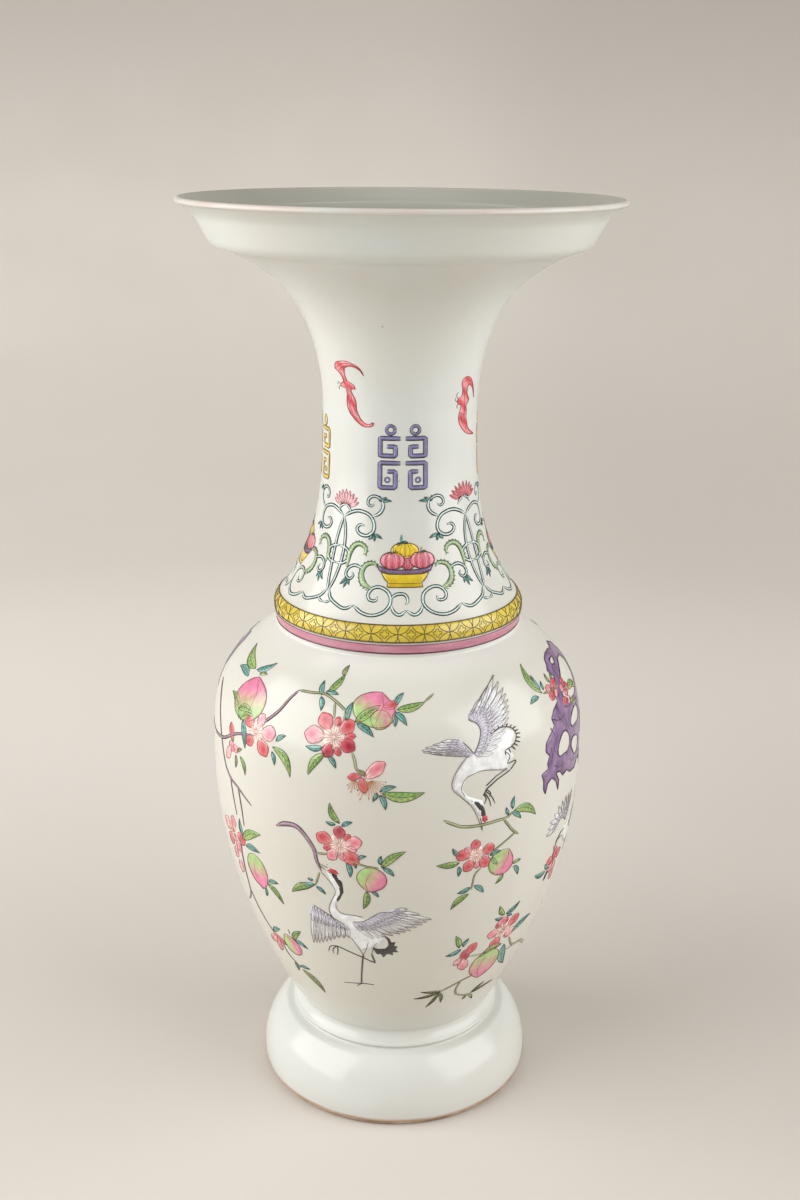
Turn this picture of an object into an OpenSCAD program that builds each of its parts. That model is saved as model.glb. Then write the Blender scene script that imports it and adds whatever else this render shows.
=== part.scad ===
// Large baluster vase with a dish mouth, thrown in sections that are luted together with slip.
// Each section is its own ring of clay. Rebated seats locate one section on the next,
// and a thin washer of slip fills every joint.

/* [Heights] */
// Overall height from the foot rim to the lip
height = 600; // [596:0.5:606]
// Height of the bare foot rim
rim_h = 4; // [3:0.5:6]
// Top of the spreading foot skirt, where the waist ring starts
skirt_top = 45.2; // [44.5:0.1:46]
// Waist, where the body starts
waist_z = 57; // [55:0.5:60]
// Joint between the lower and the upper body section
mid_joint_z = 190; // [150:1:225]
// Widest point of the body
belly_z = 240; // [232:1:248]
// Top of the shoulder, where the collar starts
collar_z = 330; // [326:0.5:334]
// Height of the collar at the root of the neck
collar_h = 22.5; // [20:0.5:25]
// Joint between the neck and the mouth section
mouth_joint_z = 548; // [520:1:555]

/* [Radii] */
// Widest radius of the foot skirt
foot_r = 93.3; // [90:0.1:96]
// Radius of the rounded outline of the foot skirt
skirt_round = 45.3; // [44:0.1:46.5]
// Radius at the bottom of the groove between the skirt and the waist ring
groove_r = 71; // [70.2:0.1:72]
// Radius of the waist
waist_r = 68.7; // [67:0.1:70]
// Widest radius of the body
belly_r = 123.2; // [116:0.1:128]
// Radius at the bottom of the collar
collar_r = 79.8; // [78:0.1:82]
// Radius where the neck leaves the collar
neck_root_r = 76.6; // [75:0.1:78]
// Narrowest radius of the neck
neck_r = 48.9; // [46:0.1:52]
// Outer radius of the lip
lip_r = 137.3; // [136:0.1:139]

/* [Walls and seams] */
// Wall thickness at the foot
wall_foot = 9; // [8:0.25:10]
// Wall thickness at the lip
wall_lip = 5.5; // [5:0.25:6.5]
// Thickness of the floor of the vase
floor_t = 8; // [6:0.5:8.5]
// Thickness of the slip in each joint
seam = 1; // [0.6:0.1:1.2]
// Height of the step that locates one section on the next
rebate = 2.5; // [2:0.25:3]
// Thickness of the opaque enamel on the collar
enamel_t = 0.35; // [0.2:0.05:0.6]

/* [Hidden] */
$fn = 180;

GLAZE = [0.90, 0.89, 0.85];
BISCUIT = [0.72, 0.63, 0.54];
SLIP = [0.80, 0.76, 0.69];
YELLOW = [0.80, 0.68, 0.18];
ROSE = [0.76, 0.45, 0.52];

// Foot skirt: an arc about a centre that stays at one height above the ground
skirt_c = [foot_r - skirt_round, 10];
skirt_arc_top = skirt_top - 0.7;
skirt_step = 3;
rim_glaze_step = 0.4;   // the bare clay sits back from the glaze by this much
rim_land = [84.6, 90.6];  // inner and outer radius of the flat ring that the vase stands on
rim_bevel = 1;          // rise of the rim between that ring and its inside face

// Waist ring: a rounded ridge above the groove
ridge_round = 2.8;
ridge_c = [groove_r - 1.2, skirt_top + seam + 2.2];

// Body: a parabola from the waist to the belly, then a steeper power curve over the shoulder
shoulder_power = 3.6;
body_step = 6;

// Collar: a roll that is fullest above its middle
collar_top = collar_z + collar_h;
collar_swell = 3.4;
collar_skew = 1.6;
collar_steps = 15;
rose_steps = [2, 6];      // first and last step of the collar under each enamel
yellow_steps = [7, 14];

// Neck: the sum of a flare at its root and a flare towards the mouth
root_flare_h = 134.5;
root_flare_power = 3.7;
mouth_flare_z = [height - 127, height - 30];
mouth_flare = [33, 28];   // slow and fast part of the upper flare
neck_step = 6;

// Mouth: a tight arc turns the flare up into a leaning wall, which opens out again to the lip
flare_end_z = height - 33;
corner_round = 12;
corner_c = [108.2, height - 18.6];
corner_lean = [3, 0.54];   // outward slope where the arc starts and where it ends
corner_ends = [for (lean = corner_lean) corner_c + corner_round * [1, -lean] / sqrt(1 + lean ^ 2)];
lip_flare_z = height - 12;
lip_flare = 0.0886;        // outward bend of the wall above that height, per square millimetre
dish_end_z = height - 3.6;
dish_step = 2.1;
bowl_end_z = height - 10;  // top of the inner wall, below the sloping top of the lip
lip_round = 2;
lip_c = [lip_r - lip_round, height - lip_round];

slope_reach = 8;   // the wall's slope is averaged over this distance each way
seat_lap = 0.5;    // share of the wall that the upper section stands on
cut_overlap = 1;   // how far a hole is cut past the faces it goes through

// Radius of the upper neck and mouth as thrown
function flare_r(z) =
    let (root = max(0, 1 - (z - collar_top) / root_flare_h) ^ root_flare_power,
         up = max(0, (z - mouth_flare_z[0]) / (mouth_flare_z[1] - mouth_flare_z[0])))
    neck_r + (neck_root_r - neck_r) * root + mouth_flare[0] * up ^ 2 + mouth_flare[1] * up ^ 6;

// Outer radius of the thrown wall, without the collar's roll, the waist ring's ridge and the lip
function wall_r(z) =
    z <= waist_z ? waist_r
    : z <= belly_z ? belly_r - (belly_r - waist_r) * (1 - (z - waist_z) / (belly_z - waist_z)) ^ 2
    : z <= collar_z ? belly_r - (belly_r - collar_r)
        * ((z - belly_z) / (collar_z - belly_z)) ^ shoulder_power
    : z <= collar_top ? collar_r + (neck_root_r - collar_r) * (z - collar_z) / collar_h
    : z <= flare_end_z ? flare_r(z)
    : z <= corner_ends[0][1] ? flare_r(flare_end_z) + (corner_ends[0][0] - flare_r(flare_end_z))
        * (z - flare_end_z) / (corner_ends[0][1] - flare_end_z)
    : z <= corner_ends[1][1] ? corner_c[0] + sqrt(corner_round ^ 2 - (z - corner_c[1]) ^ 2)
    : corner_ends[1][0] + corner_lean[1] * (z - corner_ends[1][1]);

function collar_swell_at(z) =
    (z <= collar_z || z >= collar_top) ? 0
    : collar_swell * sin(180 * ((z - collar_z) / collar_h) ^ collar_skew);

function lip_flare_at(z) = lip_flare * max(0, z - lip_flare_z) ^ 2;

function outer_r(z) = wall_r(z) + collar_swell_at(z) + lip_flare_at(z);

function slope(z) = (wall_r(z + slope_reach) - wall_r(z - slope_reach)) / (2 * slope_reach);

function thickness(z) = wall_foot + (wall_lip - wall_foot) * z / height;

// Inner radius: the wall is measured square to its surface
function inner_r(z) = wall_r(z) - thickness(z) * sqrt(1 + slope(z) ^ 2);

function backwards(list) = [for (i = [len(list) - 1 : -1 : 0]) list[i]];

// Evenly spaced heights from one level to another, no further apart than step
function levels(from, to, step) =
    let (n = ceil(abs(to - from) / step)) [for (i = [0 : n]) from + (to - from) * i / n];

function outer_line(from, to, step) = [for (z = levels(from, to, step)) [outer_r(z), z]];
function inner_line(from, to, step) = [for (z = levels(from, to, step)) [inner_r(z), z]];

// Joint face at height z from outside to inside: a land, a step up and a second land.
// lift is 0 on the lower section and the seam's thickness on the section above it.
function seat(z, r_out, lift) =
    let (r_step = inner_r(z) + (wall_r(z) - inner_r(z)) * seat_lap + lift,
         top = z + rebate + lift)
    [[r_out, z + lift], [r_step, z + lift], [r_step, top], [inner_r(top), top]];

module turned(outline) {
    rotate_extrude() polygon(outline);
}

// A wall section between two seats. outline runs up the outside between them.
module section(z0, r0, z1, r1, outline, step) {
    turned(concat(
        backwards(seat(z0, r0, seam)),
        outline,
        seat(z1, r1, 0),
        inner_line(z1 + rebate - step / 4, z0 + seam + rebate + step / 4, step)));
}

// The washer of slip between two seats
module slip_seam(z, r_low, r_high) {
    color(SLIP) turned(concat(seat(z, r_low, 0), backwards(seat(z, r_high, seam))));
}

function skirt_r(z, inset) = skirt_c[0] + sqrt((skirt_round - inset) ^ 2 - (z - skirt_c[1]) ^ 2);

// Bare clay edge that the vase stands on
module foot_rim() {
    color(BISCUIT) turned([
        [rim_land[0], 0],
        [rim_land[1], 0],
        [skirt_r(rim_h, 0) - 2 * rim_glaze_step, rim_h / 2],
        [skirt_r(rim_h, 0) - rim_glaze_step, rim_h],
        [skirt_r(rim_h, wall_foot), rim_h],
        [skirt_r(rim_h, wall_foot), rim_bevel]]);
}

// Spreading foot, hollow underneath
module foot_skirt() {
    hollow_r = inner_r(skirt_top);
    hollow_round = skirt_round - wall_foot;
    hollow_top = skirt_c[1] + sqrt(hollow_round ^ 2 - (hollow_r - skirt_c[0]) ^ 2);
    color(GLAZE) turned(concat(
        [for (z = levels(rim_h, skirt_arc_top, skirt_step)) [skirt_r(z, 0), z]],
        seat(skirt_top, groove_r, 0),
        [for (z = levels(hollow_top, rim_h, skirt_step)) [skirt_r(z, wall_foot), z]]));
}

module foot_slip() {
    slip_seam(skirt_top, groove_r, groove_r);
}

// Ridge that covers the joint between foot and body
module waist_ring() {
    ridge = [for (a = [-50 : 10 : 60])
        ridge_c + ridge_round * [cos(a), sin(a)]];
    color(GLAZE) section(skirt_top, groove_r, waist_z, waist_r, ridge, rebate);
}

module waist_slip() {
    slip_seam(waist_z, waist_r, outer_r(waist_z + seam));
}

// Floor of the vase, dropped into the waist ring
module floor_disc() {
    r = inner_r(skirt_top) - seam;
    color(GLAZE) translate([0, 0, waist_z - floor_t]) cylinder(h = floor_t, r = r);
}

module floor_slip() {
    r = inner_r(skirt_top);
    color(SLIP) translate([0, 0, waist_z - floor_t]) difference() {
        cylinder(h = floor_t, r = r);
        translate([0, 0, -cut_overlap]) cylinder(h = floor_t + 2 * cut_overlap, r = r - seam);
    }
}

module lower_body() {
    bottom = waist_z + seam;
    color(GLAZE) section(waist_z, outer_r(bottom), mid_joint_z, outer_r(mid_joint_z),
        outer_line(bottom + body_step / 2, mid_joint_z - body_step / 2, body_step), body_step);
}

module body_slip() {
    slip_seam(mid_joint_z, outer_r(mid_joint_z), outer_r(mid_joint_z + seam));
}

module upper_body() {
    bottom = mid_joint_z + seam;
    color(GLAZE) section(mid_joint_z, outer_r(bottom), collar_z, collar_r,
        outer_line(bottom + body_step / 2, collar_z - body_step / 2, body_step), body_step);
}

module shoulder_slip() {
    slip_seam(collar_z, collar_r, outer_r(collar_z + seam));
}

// Heights of the collar's outline, shared by the clay and the enamel bands on it
collar_levels = [for (i = [0 : collar_steps]) collar_z + collar_h * i / collar_steps];
function collar_line(first, last, lift) =
    [for (i = [first : last]) [outer_r(collar_levels[i]) + lift, collar_levels[i]]];

module collar_ring() {
    color(GLAZE) section(collar_z, outer_r(collar_z + seam), collar_top, neck_root_r,
        collar_line(1, collar_steps - 1, 0), rebate * 2);
}

module enamel_band(steps) {
    turned(concat(
        collar_line(steps[0], steps[1], 0),
        backwards(collar_line(steps[0], steps[1], enamel_t))));
}

module yellow_enamel_band() {
    color(YELLOW) enamel_band(yellow_steps);
}

module rose_enamel_band() {
    color(ROSE) enamel_band(rose_steps);
}

module collar_slip() {
    slip_seam(collar_top, neck_root_r, outer_r(collar_top + seam));
}

module neck() {
    bottom = collar_top + seam;
    color(GLAZE) section(collar_top, outer_r(bottom), mouth_joint_z, outer_r(mouth_joint_z),
        outer_line(bottom + neck_step / 2, mouth_joint_z - neck_step / 2, neck_step), neck_step);
}

module mouth_slip() {
    slip_seam(mouth_joint_z, outer_r(mouth_joint_z), outer_r(mouth_joint_z + seam));
}

// Dish-shaped mouth with its everted lip
module mouth() {
    bottom = mouth_joint_z + seam;
    color(GLAZE) turned(concat(
        backwards(seat(mouth_joint_z, outer_r(bottom), seam)),
        outer_line(bottom + dish_step, dish_end_z, dish_step),
        [for (a = [-50 : 17 : 120]) lip_c + lip_round * [cos(a), sin(a)]],
        inner_line(bowl_end_z, bottom + rebate + dish_step, dish_step)));
}

foot_rim();
foot_skirt();
foot_slip();
waist_ring();
waist_slip();
floor_disc();
floor_slip();
lower_body();
body_slip();
upper_body();
shoulder_slip();
collar_ring();
collar_slip();
neck();
mouth_slip();
mouth();
yellow_enamel_band();
rose_enamel_band();
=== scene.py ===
"""Large baluster vase of white porcelain, painted over the glaze with peach sprays, cranes and scrolls.

The thrown sections are lathed on the CAD model's own outlines. The enamels are thin closed films and
brush lines that lie on the glaze. Lengths are in millimetres until a mesh is made. A place on the wall
is an angle in degrees from the front (-Y), positive towards +X, and a height.
"""
import math
import random

import bpy
import numpy as np
from mathutils import Matrix, Vector, geometry


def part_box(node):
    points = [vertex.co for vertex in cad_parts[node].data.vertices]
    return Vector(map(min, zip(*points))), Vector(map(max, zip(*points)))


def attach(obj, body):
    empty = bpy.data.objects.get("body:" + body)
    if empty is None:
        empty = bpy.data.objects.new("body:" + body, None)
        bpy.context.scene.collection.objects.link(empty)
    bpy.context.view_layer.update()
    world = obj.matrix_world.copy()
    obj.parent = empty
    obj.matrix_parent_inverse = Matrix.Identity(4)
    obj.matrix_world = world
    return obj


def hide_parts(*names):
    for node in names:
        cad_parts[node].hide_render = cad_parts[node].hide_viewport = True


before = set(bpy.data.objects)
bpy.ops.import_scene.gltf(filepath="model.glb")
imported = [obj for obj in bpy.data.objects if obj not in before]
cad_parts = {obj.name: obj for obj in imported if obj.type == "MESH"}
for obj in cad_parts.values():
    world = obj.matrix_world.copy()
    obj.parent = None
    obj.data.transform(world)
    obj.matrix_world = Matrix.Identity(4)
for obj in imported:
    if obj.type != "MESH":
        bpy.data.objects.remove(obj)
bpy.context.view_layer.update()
BODY = "root"
MM = 0.001


# ---------------------------------------------------------------- sizes, from the frame

def low(node):
    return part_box(node)[0].z / MM


def high(node):
    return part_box(node)[1].z / MM


def reach(node):
    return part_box(node)[1].x / MM


HEIGHT = high("mouth")
RIM_TOP = high("foot_rim")
SKIRT_TOP = low("foot_slip")
WAIST_Z = low("waist_slip")
MID_Z = low("body_slip")
COLLAR_Z = low("shoulder_slip")
COLLAR_TOP = low("collar_slip")
MOUTH_Z = low("mouth_slip")
FOOT_R = reach("foot_skirt")
BELLY_R = reach("upper_body")
LIP_R = reach("mouth")
RIM_LAND_R = (84.6, 90.6)
GROOVE_R = 71.0
WAIST_R = 68.7
COLLAR_R = 79.8
NECK_ROOT_R = 76.6
NECK_R = 48.9
BELLY_Z = 240.0
COLLAR_H = COLLAR_TOP - COLLAR_Z
SEAM = 1.0
REBATE = 2.5
WALL_FOOT = 9.0
WALL_LIP = 5.5
SEAT_LAP = 0.5

SKIRT_ROUND = 45.3
SKIRT_CENTRE = (FOOT_R - SKIRT_ROUND, 10.0)
RIDGE_ROUND = 2.8
RIDGE_CENTRE = (GROOVE_R - 1.2, SKIRT_TOP + SEAM + 2.2)
SHOULDER_POWER = 3.6
COLLAR_SWELL = 3.4
COLLAR_SKEW = 1.6
ROOT_FLARE_H = 134.5
ROOT_FLARE_POWER = 3.7
MOUTH_FLARE_Z = (HEIGHT - 127, HEIGHT - 30)
MOUTH_FLARE = (33, 28)
FLARE_END_Z = HEIGHT - 33
CORNER_ROUND = 12.0
CORNER_CENTRE = (108.2, HEIGHT - 18.6)
CORNER_LEAN = (3.0, 0.54)
CORNER_ENDS = [(CORNER_CENTRE[0] + CORNER_ROUND / math.hypot(1, lean),
                CORNER_CENTRE[1] - CORNER_ROUND * lean / math.hypot(1, lean)) for lean in CORNER_LEAN]
LIP_FLARE_Z = HEIGHT - 12
LIP_FLARE = 0.0886
DISH_END_Z = HEIGHT - 3.6
BOWL_END_Z = HEIGHT - 10
LIP_ROUND = 2.0
LIP_CENTRE = (LIP_R - LIP_ROUND, HEIGHT - LIP_ROUND)
SLOPE_REACH = 8.0


# ---------------------------------------------------------------- outline of the wall

def flare_r(z):
    root = max(0.0, 1 - (z - COLLAR_TOP) / ROOT_FLARE_H) ** ROOT_FLARE_POWER
    up = max(0.0, (z - MOUTH_FLARE_Z[0]) / (MOUTH_FLARE_Z[1] - MOUTH_FLARE_Z[0]))
    return NECK_R + (NECK_ROOT_R - NECK_R) * root + MOUTH_FLARE[0] * up ** 2 + MOUTH_FLARE[1] * up ** 6


def wall_r(z):
    """Outer radius without the collar's roll, the waist ring's ridge and the lip."""
    if z <= WAIST_Z:
        return WAIST_R
    if z <= BELLY_Z:
        return BELLY_R - (BELLY_R - WAIST_R) * (1 - (z - WAIST_Z) / (BELLY_Z - WAIST_Z)) ** 2
    if z <= COLLAR_Z:
        return BELLY_R - (BELLY_R - COLLAR_R) * ((z - BELLY_Z) / (COLLAR_Z - BELLY_Z)) ** SHOULDER_POWER
    if z <= COLLAR_TOP:
        return COLLAR_R + (NECK_ROOT_R - COLLAR_R) * (z - COLLAR_Z) / COLLAR_H
    if z <= FLARE_END_Z:
        return flare_r(z)
    if z <= CORNER_ENDS[0][1]:
        share = (z - FLARE_END_Z) / (CORNER_ENDS[0][1] - FLARE_END_Z)
        return flare_r(FLARE_END_Z) + (CORNER_ENDS[0][0] - flare_r(FLARE_END_Z)) * share
    if z <= CORNER_ENDS[1][1]:
        return CORNER_CENTRE[0] + math.sqrt(CORNER_ROUND ** 2 - (z - CORNER_CENTRE[1]) ** 2)
    return CORNER_ENDS[1][0] + CORNER_LEAN[1] * (z - CORNER_ENDS[1][1])


def outer_r(z):
    share = min(1.0, max(0.0, (z - COLLAR_Z) / COLLAR_H))
    lip = LIP_FLARE * max(0.0, z - LIP_FLARE_Z) ** 2
    return wall_r(z) + COLLAR_SWELL * math.sin(math.pi * share ** COLLAR_SKEW) + lip


def inner_r(z):
    """The wall is measured square to its surface, and thins towards the lip."""
    slope = (wall_r(z + SLOPE_REACH) - wall_r(z - SLOPE_REACH)) / (2 * SLOPE_REACH)
    return wall_r(z) - (WALL_FOOT + (WALL_LIP - WALL_FOOT) * z / HEIGHT) * math.hypot(1, slope)


def levels(start, end, step):
    count = max(1, math.ceil(abs(end - start) / step))
    return [start + (end - start) * i / count for i in range(count + 1)]


def arc(centre, radius, start, end, count):
    turns = (math.radians(start + (end - start) * i / count) for i in range(count + 1))
    return [(centre[0] + radius * math.cos(a), centre[1] + radius * math.sin(a)) for a in turns]


def spline(points, per_span):
    """Catmull-Rom curve through the points, with per_span steps between two of them."""
    p = np.array([points[0], *points, points[-1]], float)
    p[0] = 2 * p[1] - p[2]
    p[-1] = 2 * p[-2] - p[-3]
    t = np.linspace(0, 1, per_span, endpoint=False)[:, None]
    spans = []
    for a, b, c, d in zip(p, p[1:], p[2:], p[3:]):
        spans.append(0.5 * (2 * b + (c - a) * t + (2 * a - 5 * b + 4 * c - d) * t ** 2
                            + (3 * b - a - 3 * c + d) * t ** 3))
    return np.vstack([*spans, p[-2:-1]])


class Outline:
    """A smooth line in the (radius, height) plane, with its length and its normals."""

    def __init__(self, points, side):
        self.rz = np.array(points, float)
        steps = np.hypot(*np.diff(self.rz, axis=0).T)
        self.s = np.concatenate([[0], np.cumsum(steps)])
        tangent = np.gradient(self.rz, self.s, axis=0)
        tangent /= np.hypot(*tangent.T)[:, None]
        self.normal = side * np.stack([tangent[:, 1], -tangent[:, 0]], 1)

    def at(self, s):
        """Radius, height and normal at the length s."""
        place = [np.interp(s, self.s, self.rz[:, i]) for i in (0, 1)]
        normal = np.stack([np.interp(s, self.s, self.normal[:, i]) for i in (0, 1)], -1)
        return (*place, normal / np.linalg.norm(normal, axis=-1, keepdims=True))

    def s_of(self, z):
        """Length at the height z. Used where the height only grows along the line."""
        return np.interp(z, self.rz[:, 1], self.s)

    def between(self, z0, z1, step):
        """Points and normals from one height to another."""
        s = np.array(levels(float(self.s_of(z0)), float(self.s_of(z1)), step))
        r, z, normal = self.at(s)
        return np.stack([r, z], 1), normal


SKIRT_LEAVES = 49.0
FOOT_LINE = arc(SKIRT_CENTRE, SKIRT_ROUND, math.degrees(math.asin((RIM_TOP - SKIRT_CENTRE[1]) / SKIRT_ROUND)),
                SKIRT_LEAVES, 14)
GROOVE_LINE = [(73.8, SKIRT_TOP - 0.25), (71.9, SKIRT_TOP + 0.35), (71.4, SKIRT_TOP + SEAM + 0.5)]
RIDGE_LINE = arc(RIDGE_CENTRE, RIDGE_ROUND, -20, 50, 5)
WAIST_LINE = [(69.7, WAIST_Z - 3.6), (68.8, WAIST_Z - 1.4), (68.85, WAIST_Z + 0.8)]
BODY_LINE = [(outer_r(z), z) for z in levels(WAIST_Z + 3, COLLAR_Z - 2.5, 5)]
COLLAR_LINE = [(outer_r(z), z) for z in levels(COLLAR_Z + 0.2, COLLAR_TOP - 0.5, 1.5)]
NECK_LINE = [(outer_r(z), z) for z in levels(COLLAR_TOP + 1.5, FLARE_END_Z, 4)]
DISH_LINE = [(outer_r(z), z) for z in levels(FLARE_END_Z + 2, DISH_END_Z, 1.6)]
LIP_LINE = arc(LIP_CENTRE, LIP_ROUND, -40, 90, 14)
OUTSIDE = Outline(spline(FOOT_LINE + GROOVE_LINE + RIDGE_LINE + WAIST_LINE + BODY_LINE + COLLAR_LINE
                         + NECK_LINE + DISH_LINE + LIP_LINE, 4), 1)
INSIDE = Outline(spline([(inner_r(z), z) for z in levels(WAIST_Z + 0.5, BOWL_END_Z, 5)], 3), -1)


def wobble(angle, z):
    """How far the hand-thrown wall leaves a true circle, and its two slopes per millimetre."""
    waves = [(0.16, 2, 170.0, 0.7), (0.08, 3, -95.0, 2.1), (0.04, 5, 60.0, 4.0)]
    out, around, along = 0.0, 0.0, 0.0
    for size, count, pitch, shift in waves:
        phase = count * angle + z / pitch + shift
        out = out + size * np.sin(phase)
        around = around + size * count * np.cos(phase)
        along = along + size / pitch * np.cos(phase)
    return out, around, along


def surface(angle, s, lift=0.0):
    """Point on the outside, in millimetres, at an angle in radians and a length along the outline."""
    r, z, normal = OUTSIDE.at(s)
    bulge, _, _ = wobble(angle, z)
    r = r + bulge + normal[..., 0] * lift
    return np.stack([r * np.sin(angle), -r * np.cos(angle), z + normal[..., 1] * lift], -1)


# ---------------------------------------------------------------- meshes

def add_object(name, verts, faces, material, replaced=(), smooth=True):
    """Makes a piece from millimetre points, and lets it ride on the vase."""
    mesh = bpy.data.meshes.new(name)
    mesh.from_pydata((np.asarray(verts) * MM).tolist(), [], faces)
    mesh.validate()
    mesh.polygons.foreach_set("use_smooth", [smooth] * len(mesh.polygons))
    mesh.materials.append(material)
    obj = bpy.data.objects.new(name, mesh)
    bpy.context.scene.collection.objects.link(obj)
    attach(obj, BODY)
    if replaced:
        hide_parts(*replaced)
    return obj


LATHE_STEPS = 256


def lathe(name, runs, material, replaced):
    """Turns a closed outline. Each run is a pair of points and normals that starts where the last one ended."""
    angle = np.arange(LATHE_STEPS) * 2 * math.pi / LATHE_STEPS
    rings, strips = [], []
    for points, normals in runs:
        for i in range(len(points) - 1):
            strips.append((len(rings), normals[i], normals[i + 1]))
            rings.append(points[i])
    verts, slopes = [], []
    for r, z in rings:
        bulge, around, along = wobble(angle, z)
        full = r + bulge
        verts.append(np.stack([full * np.sin(angle), -full * np.cos(angle), np.full_like(angle, z)], 1))
        slopes.append((around / max(r, 1.0), along))
    count = len(rings)
    index = np.arange(LATHE_STEPS)
    after = (index + 1) % LATHE_STEPS
    faces, corner_normals = [], []
    out = np.stack([np.sin(angle), -np.cos(angle)], 1)
    side = np.stack([np.cos(angle), np.sin(angle)], 1)

    def turned(ring, normal):
        around, along = slopes[ring]
        flat = out * normal[0] - side * (around * normal[0])[:, None]
        full = np.column_stack([flat, normal[1] - along * normal[0]])
        return full / np.linalg.norm(full, axis=1, keepdims=True)

    for ring, start, end in strips:
        upper = (ring + 1) % count
        here, there = turned(ring, start), turned(upper, end)
        faces.append(np.stack([ring * LATHE_STEPS + index, ring * LATHE_STEPS + after,
                               upper * LATHE_STEPS + after, upper * LATHE_STEPS + index], 1))
        corner_normals.append(np.stack([here, here[after], there[after], there], 1))
    obj = add_object(name, np.vstack(verts), np.vstack(faces).tolist(), material, replaced)
    obj.data.normals_split_custom_set(np.vstack(corner_normals).reshape(-1, 3).tolist())
    return obj


def straight(*points):
    """Runs of one flat face each, through the points."""
    runs = []
    for a, b in zip(points, points[1:]):
        along = np.subtract(b, a) / max(1e-9, math.dist(a, b))
        normal = (along[1], -along[0])
        runs.append((np.array([a, b]), np.array([normal, normal])))
    return runs


def seat(z, lift):
    """Joint face at the height z from outside to inside: a land, a step up and a second land."""
    outside = float(OUTSIDE.at(OUTSIDE.s_of(z + lift))[0])
    step = inner_r(z) + (wall_r(z) - inner_r(z)) * SEAT_LAP + lift
    top = z + REBATE + lift
    return [(outside, z + lift), (step, z + lift), (step, top), (inner_r(top), top)]


def joined(run, start, end):
    """The run with its ends moved onto the corners of its neighbours."""
    points, normals = run
    points[0], points[-1] = start, end
    return points, normals


OUTER_STEP = 1.6
INNER_STEP = 4.0


def wall_section(name, z0, z1, material):
    lower, upper = seat(z0, SEAM), seat(z1, 0)
    outside = joined(OUTSIDE.between(z0 + SEAM, z1, OUTER_STEP), lower[0], upper[0])
    inside = joined(INSIDE.between(upper[3][1], lower[3][1], INNER_STEP), upper[3], lower[3])
    return lathe(name, [*straight(*reversed(lower)), outside, *straight(*upper), inside],
                 material, [name.removeprefix("glazed_")])


def slip_seam(name, z, material):
    lower, upper = seat(z, 0), seat(z, SEAM)
    outside = joined(OUTSIDE.between(z, z + SEAM, OUTER_STEP), lower[0], upper[0])
    return lathe(name, [outside, *straight(*upper), *straight(upper[3], lower[3]),
                        *straight(*reversed(lower))], material, [name.removeprefix("glazed_")])


# ---------------------------------------------------------------- materials

class Nodes:
    """Short ways to add and link the nodes of one material."""

    def __init__(self, name):
        self.material = bpy.data.materials.new(name)
        self.material.use_nodes = True
        self.tree = self.material.node_tree
        self.shader = self.tree.nodes["Principled BSDF"]

    def add(self, kind, **inputs):
        node = self.tree.nodes.new(kind)
        for key, value in inputs.items():
            self.put(node.inputs[key.replace("_", " ")], value)
        return node

    def put(self, socket, value):
        if isinstance(value, bpy.types.NodeSocket):
            self.tree.links.new(value, socket)
        else:
            socket.default_value = value

    def place(self):
        """Object coordinates in metres. The vase stands in its own frame, so Z is the height."""
        return self.add("ShaderNodeTexCoord").outputs["Object"]

    def noise(self, scale, detail=3.0, stretch=(1, 1, 1)):
        mapping = self.add("ShaderNodeMapping", Vector=self.place(), Scale=stretch)
        return self.add("ShaderNodeTexNoise", Vector=mapping.outputs[0], Scale=scale,
                        Detail=detail).outputs["Fac"]

    def ramp(self, value, start, end, low=0.0, high=1.0):
        node = self.add("ShaderNodeMapRange", Value=value)
        node.interpolation_type = "SMOOTHSTEP"
        for socket, number in zip(list(node.inputs)[1:5], (start, end, low, high)):
            socket.default_value = number
        return node.outputs[0]

    def math(self, operation, a, b=0.0):
        node = self.tree.nodes.new("ShaderNodeMath")
        node.operation = operation
        self.put(node.inputs[0], a)
        self.put(node.inputs[1], b)
        return node.outputs[0]

    def vector(self, operation, a, b):
        node = self.tree.nodes.new("ShaderNodeVectorMath")
        node.operation = operation
        self.put(node.inputs[0], a)
        self.put(node.inputs[1], b)
        return node

    def mix(self, share, a, b, blend="MIX"):
        node = self.tree.nodes.new("ShaderNodeMix")
        node.data_type = "RGBA"
        node.blend_type = blend
        self.put(node.inputs[0], share)
        self.put(node.inputs[6], a)
        self.put(node.inputs[7], b)
        return node.outputs[2]

    def finish(self, colour, **settings):
        self.put(self.shader.inputs["Base Color"], colour)
        for key, value in settings.items():
            self.put(self.shader.inputs[key.replace("_", " ")], value)
        return self.material


def linear(red, green, blue):
    """Linear colour from the 0 to 255 numbers that a paint chart gives."""
    def decode(c):
        c /= 255
        return c / 12.92 if c <= 0.04045 else ((c + 0.055) / 1.055) ** 2.4
    return (decode(red), decode(green), decode(blue), 1.0)


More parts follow.
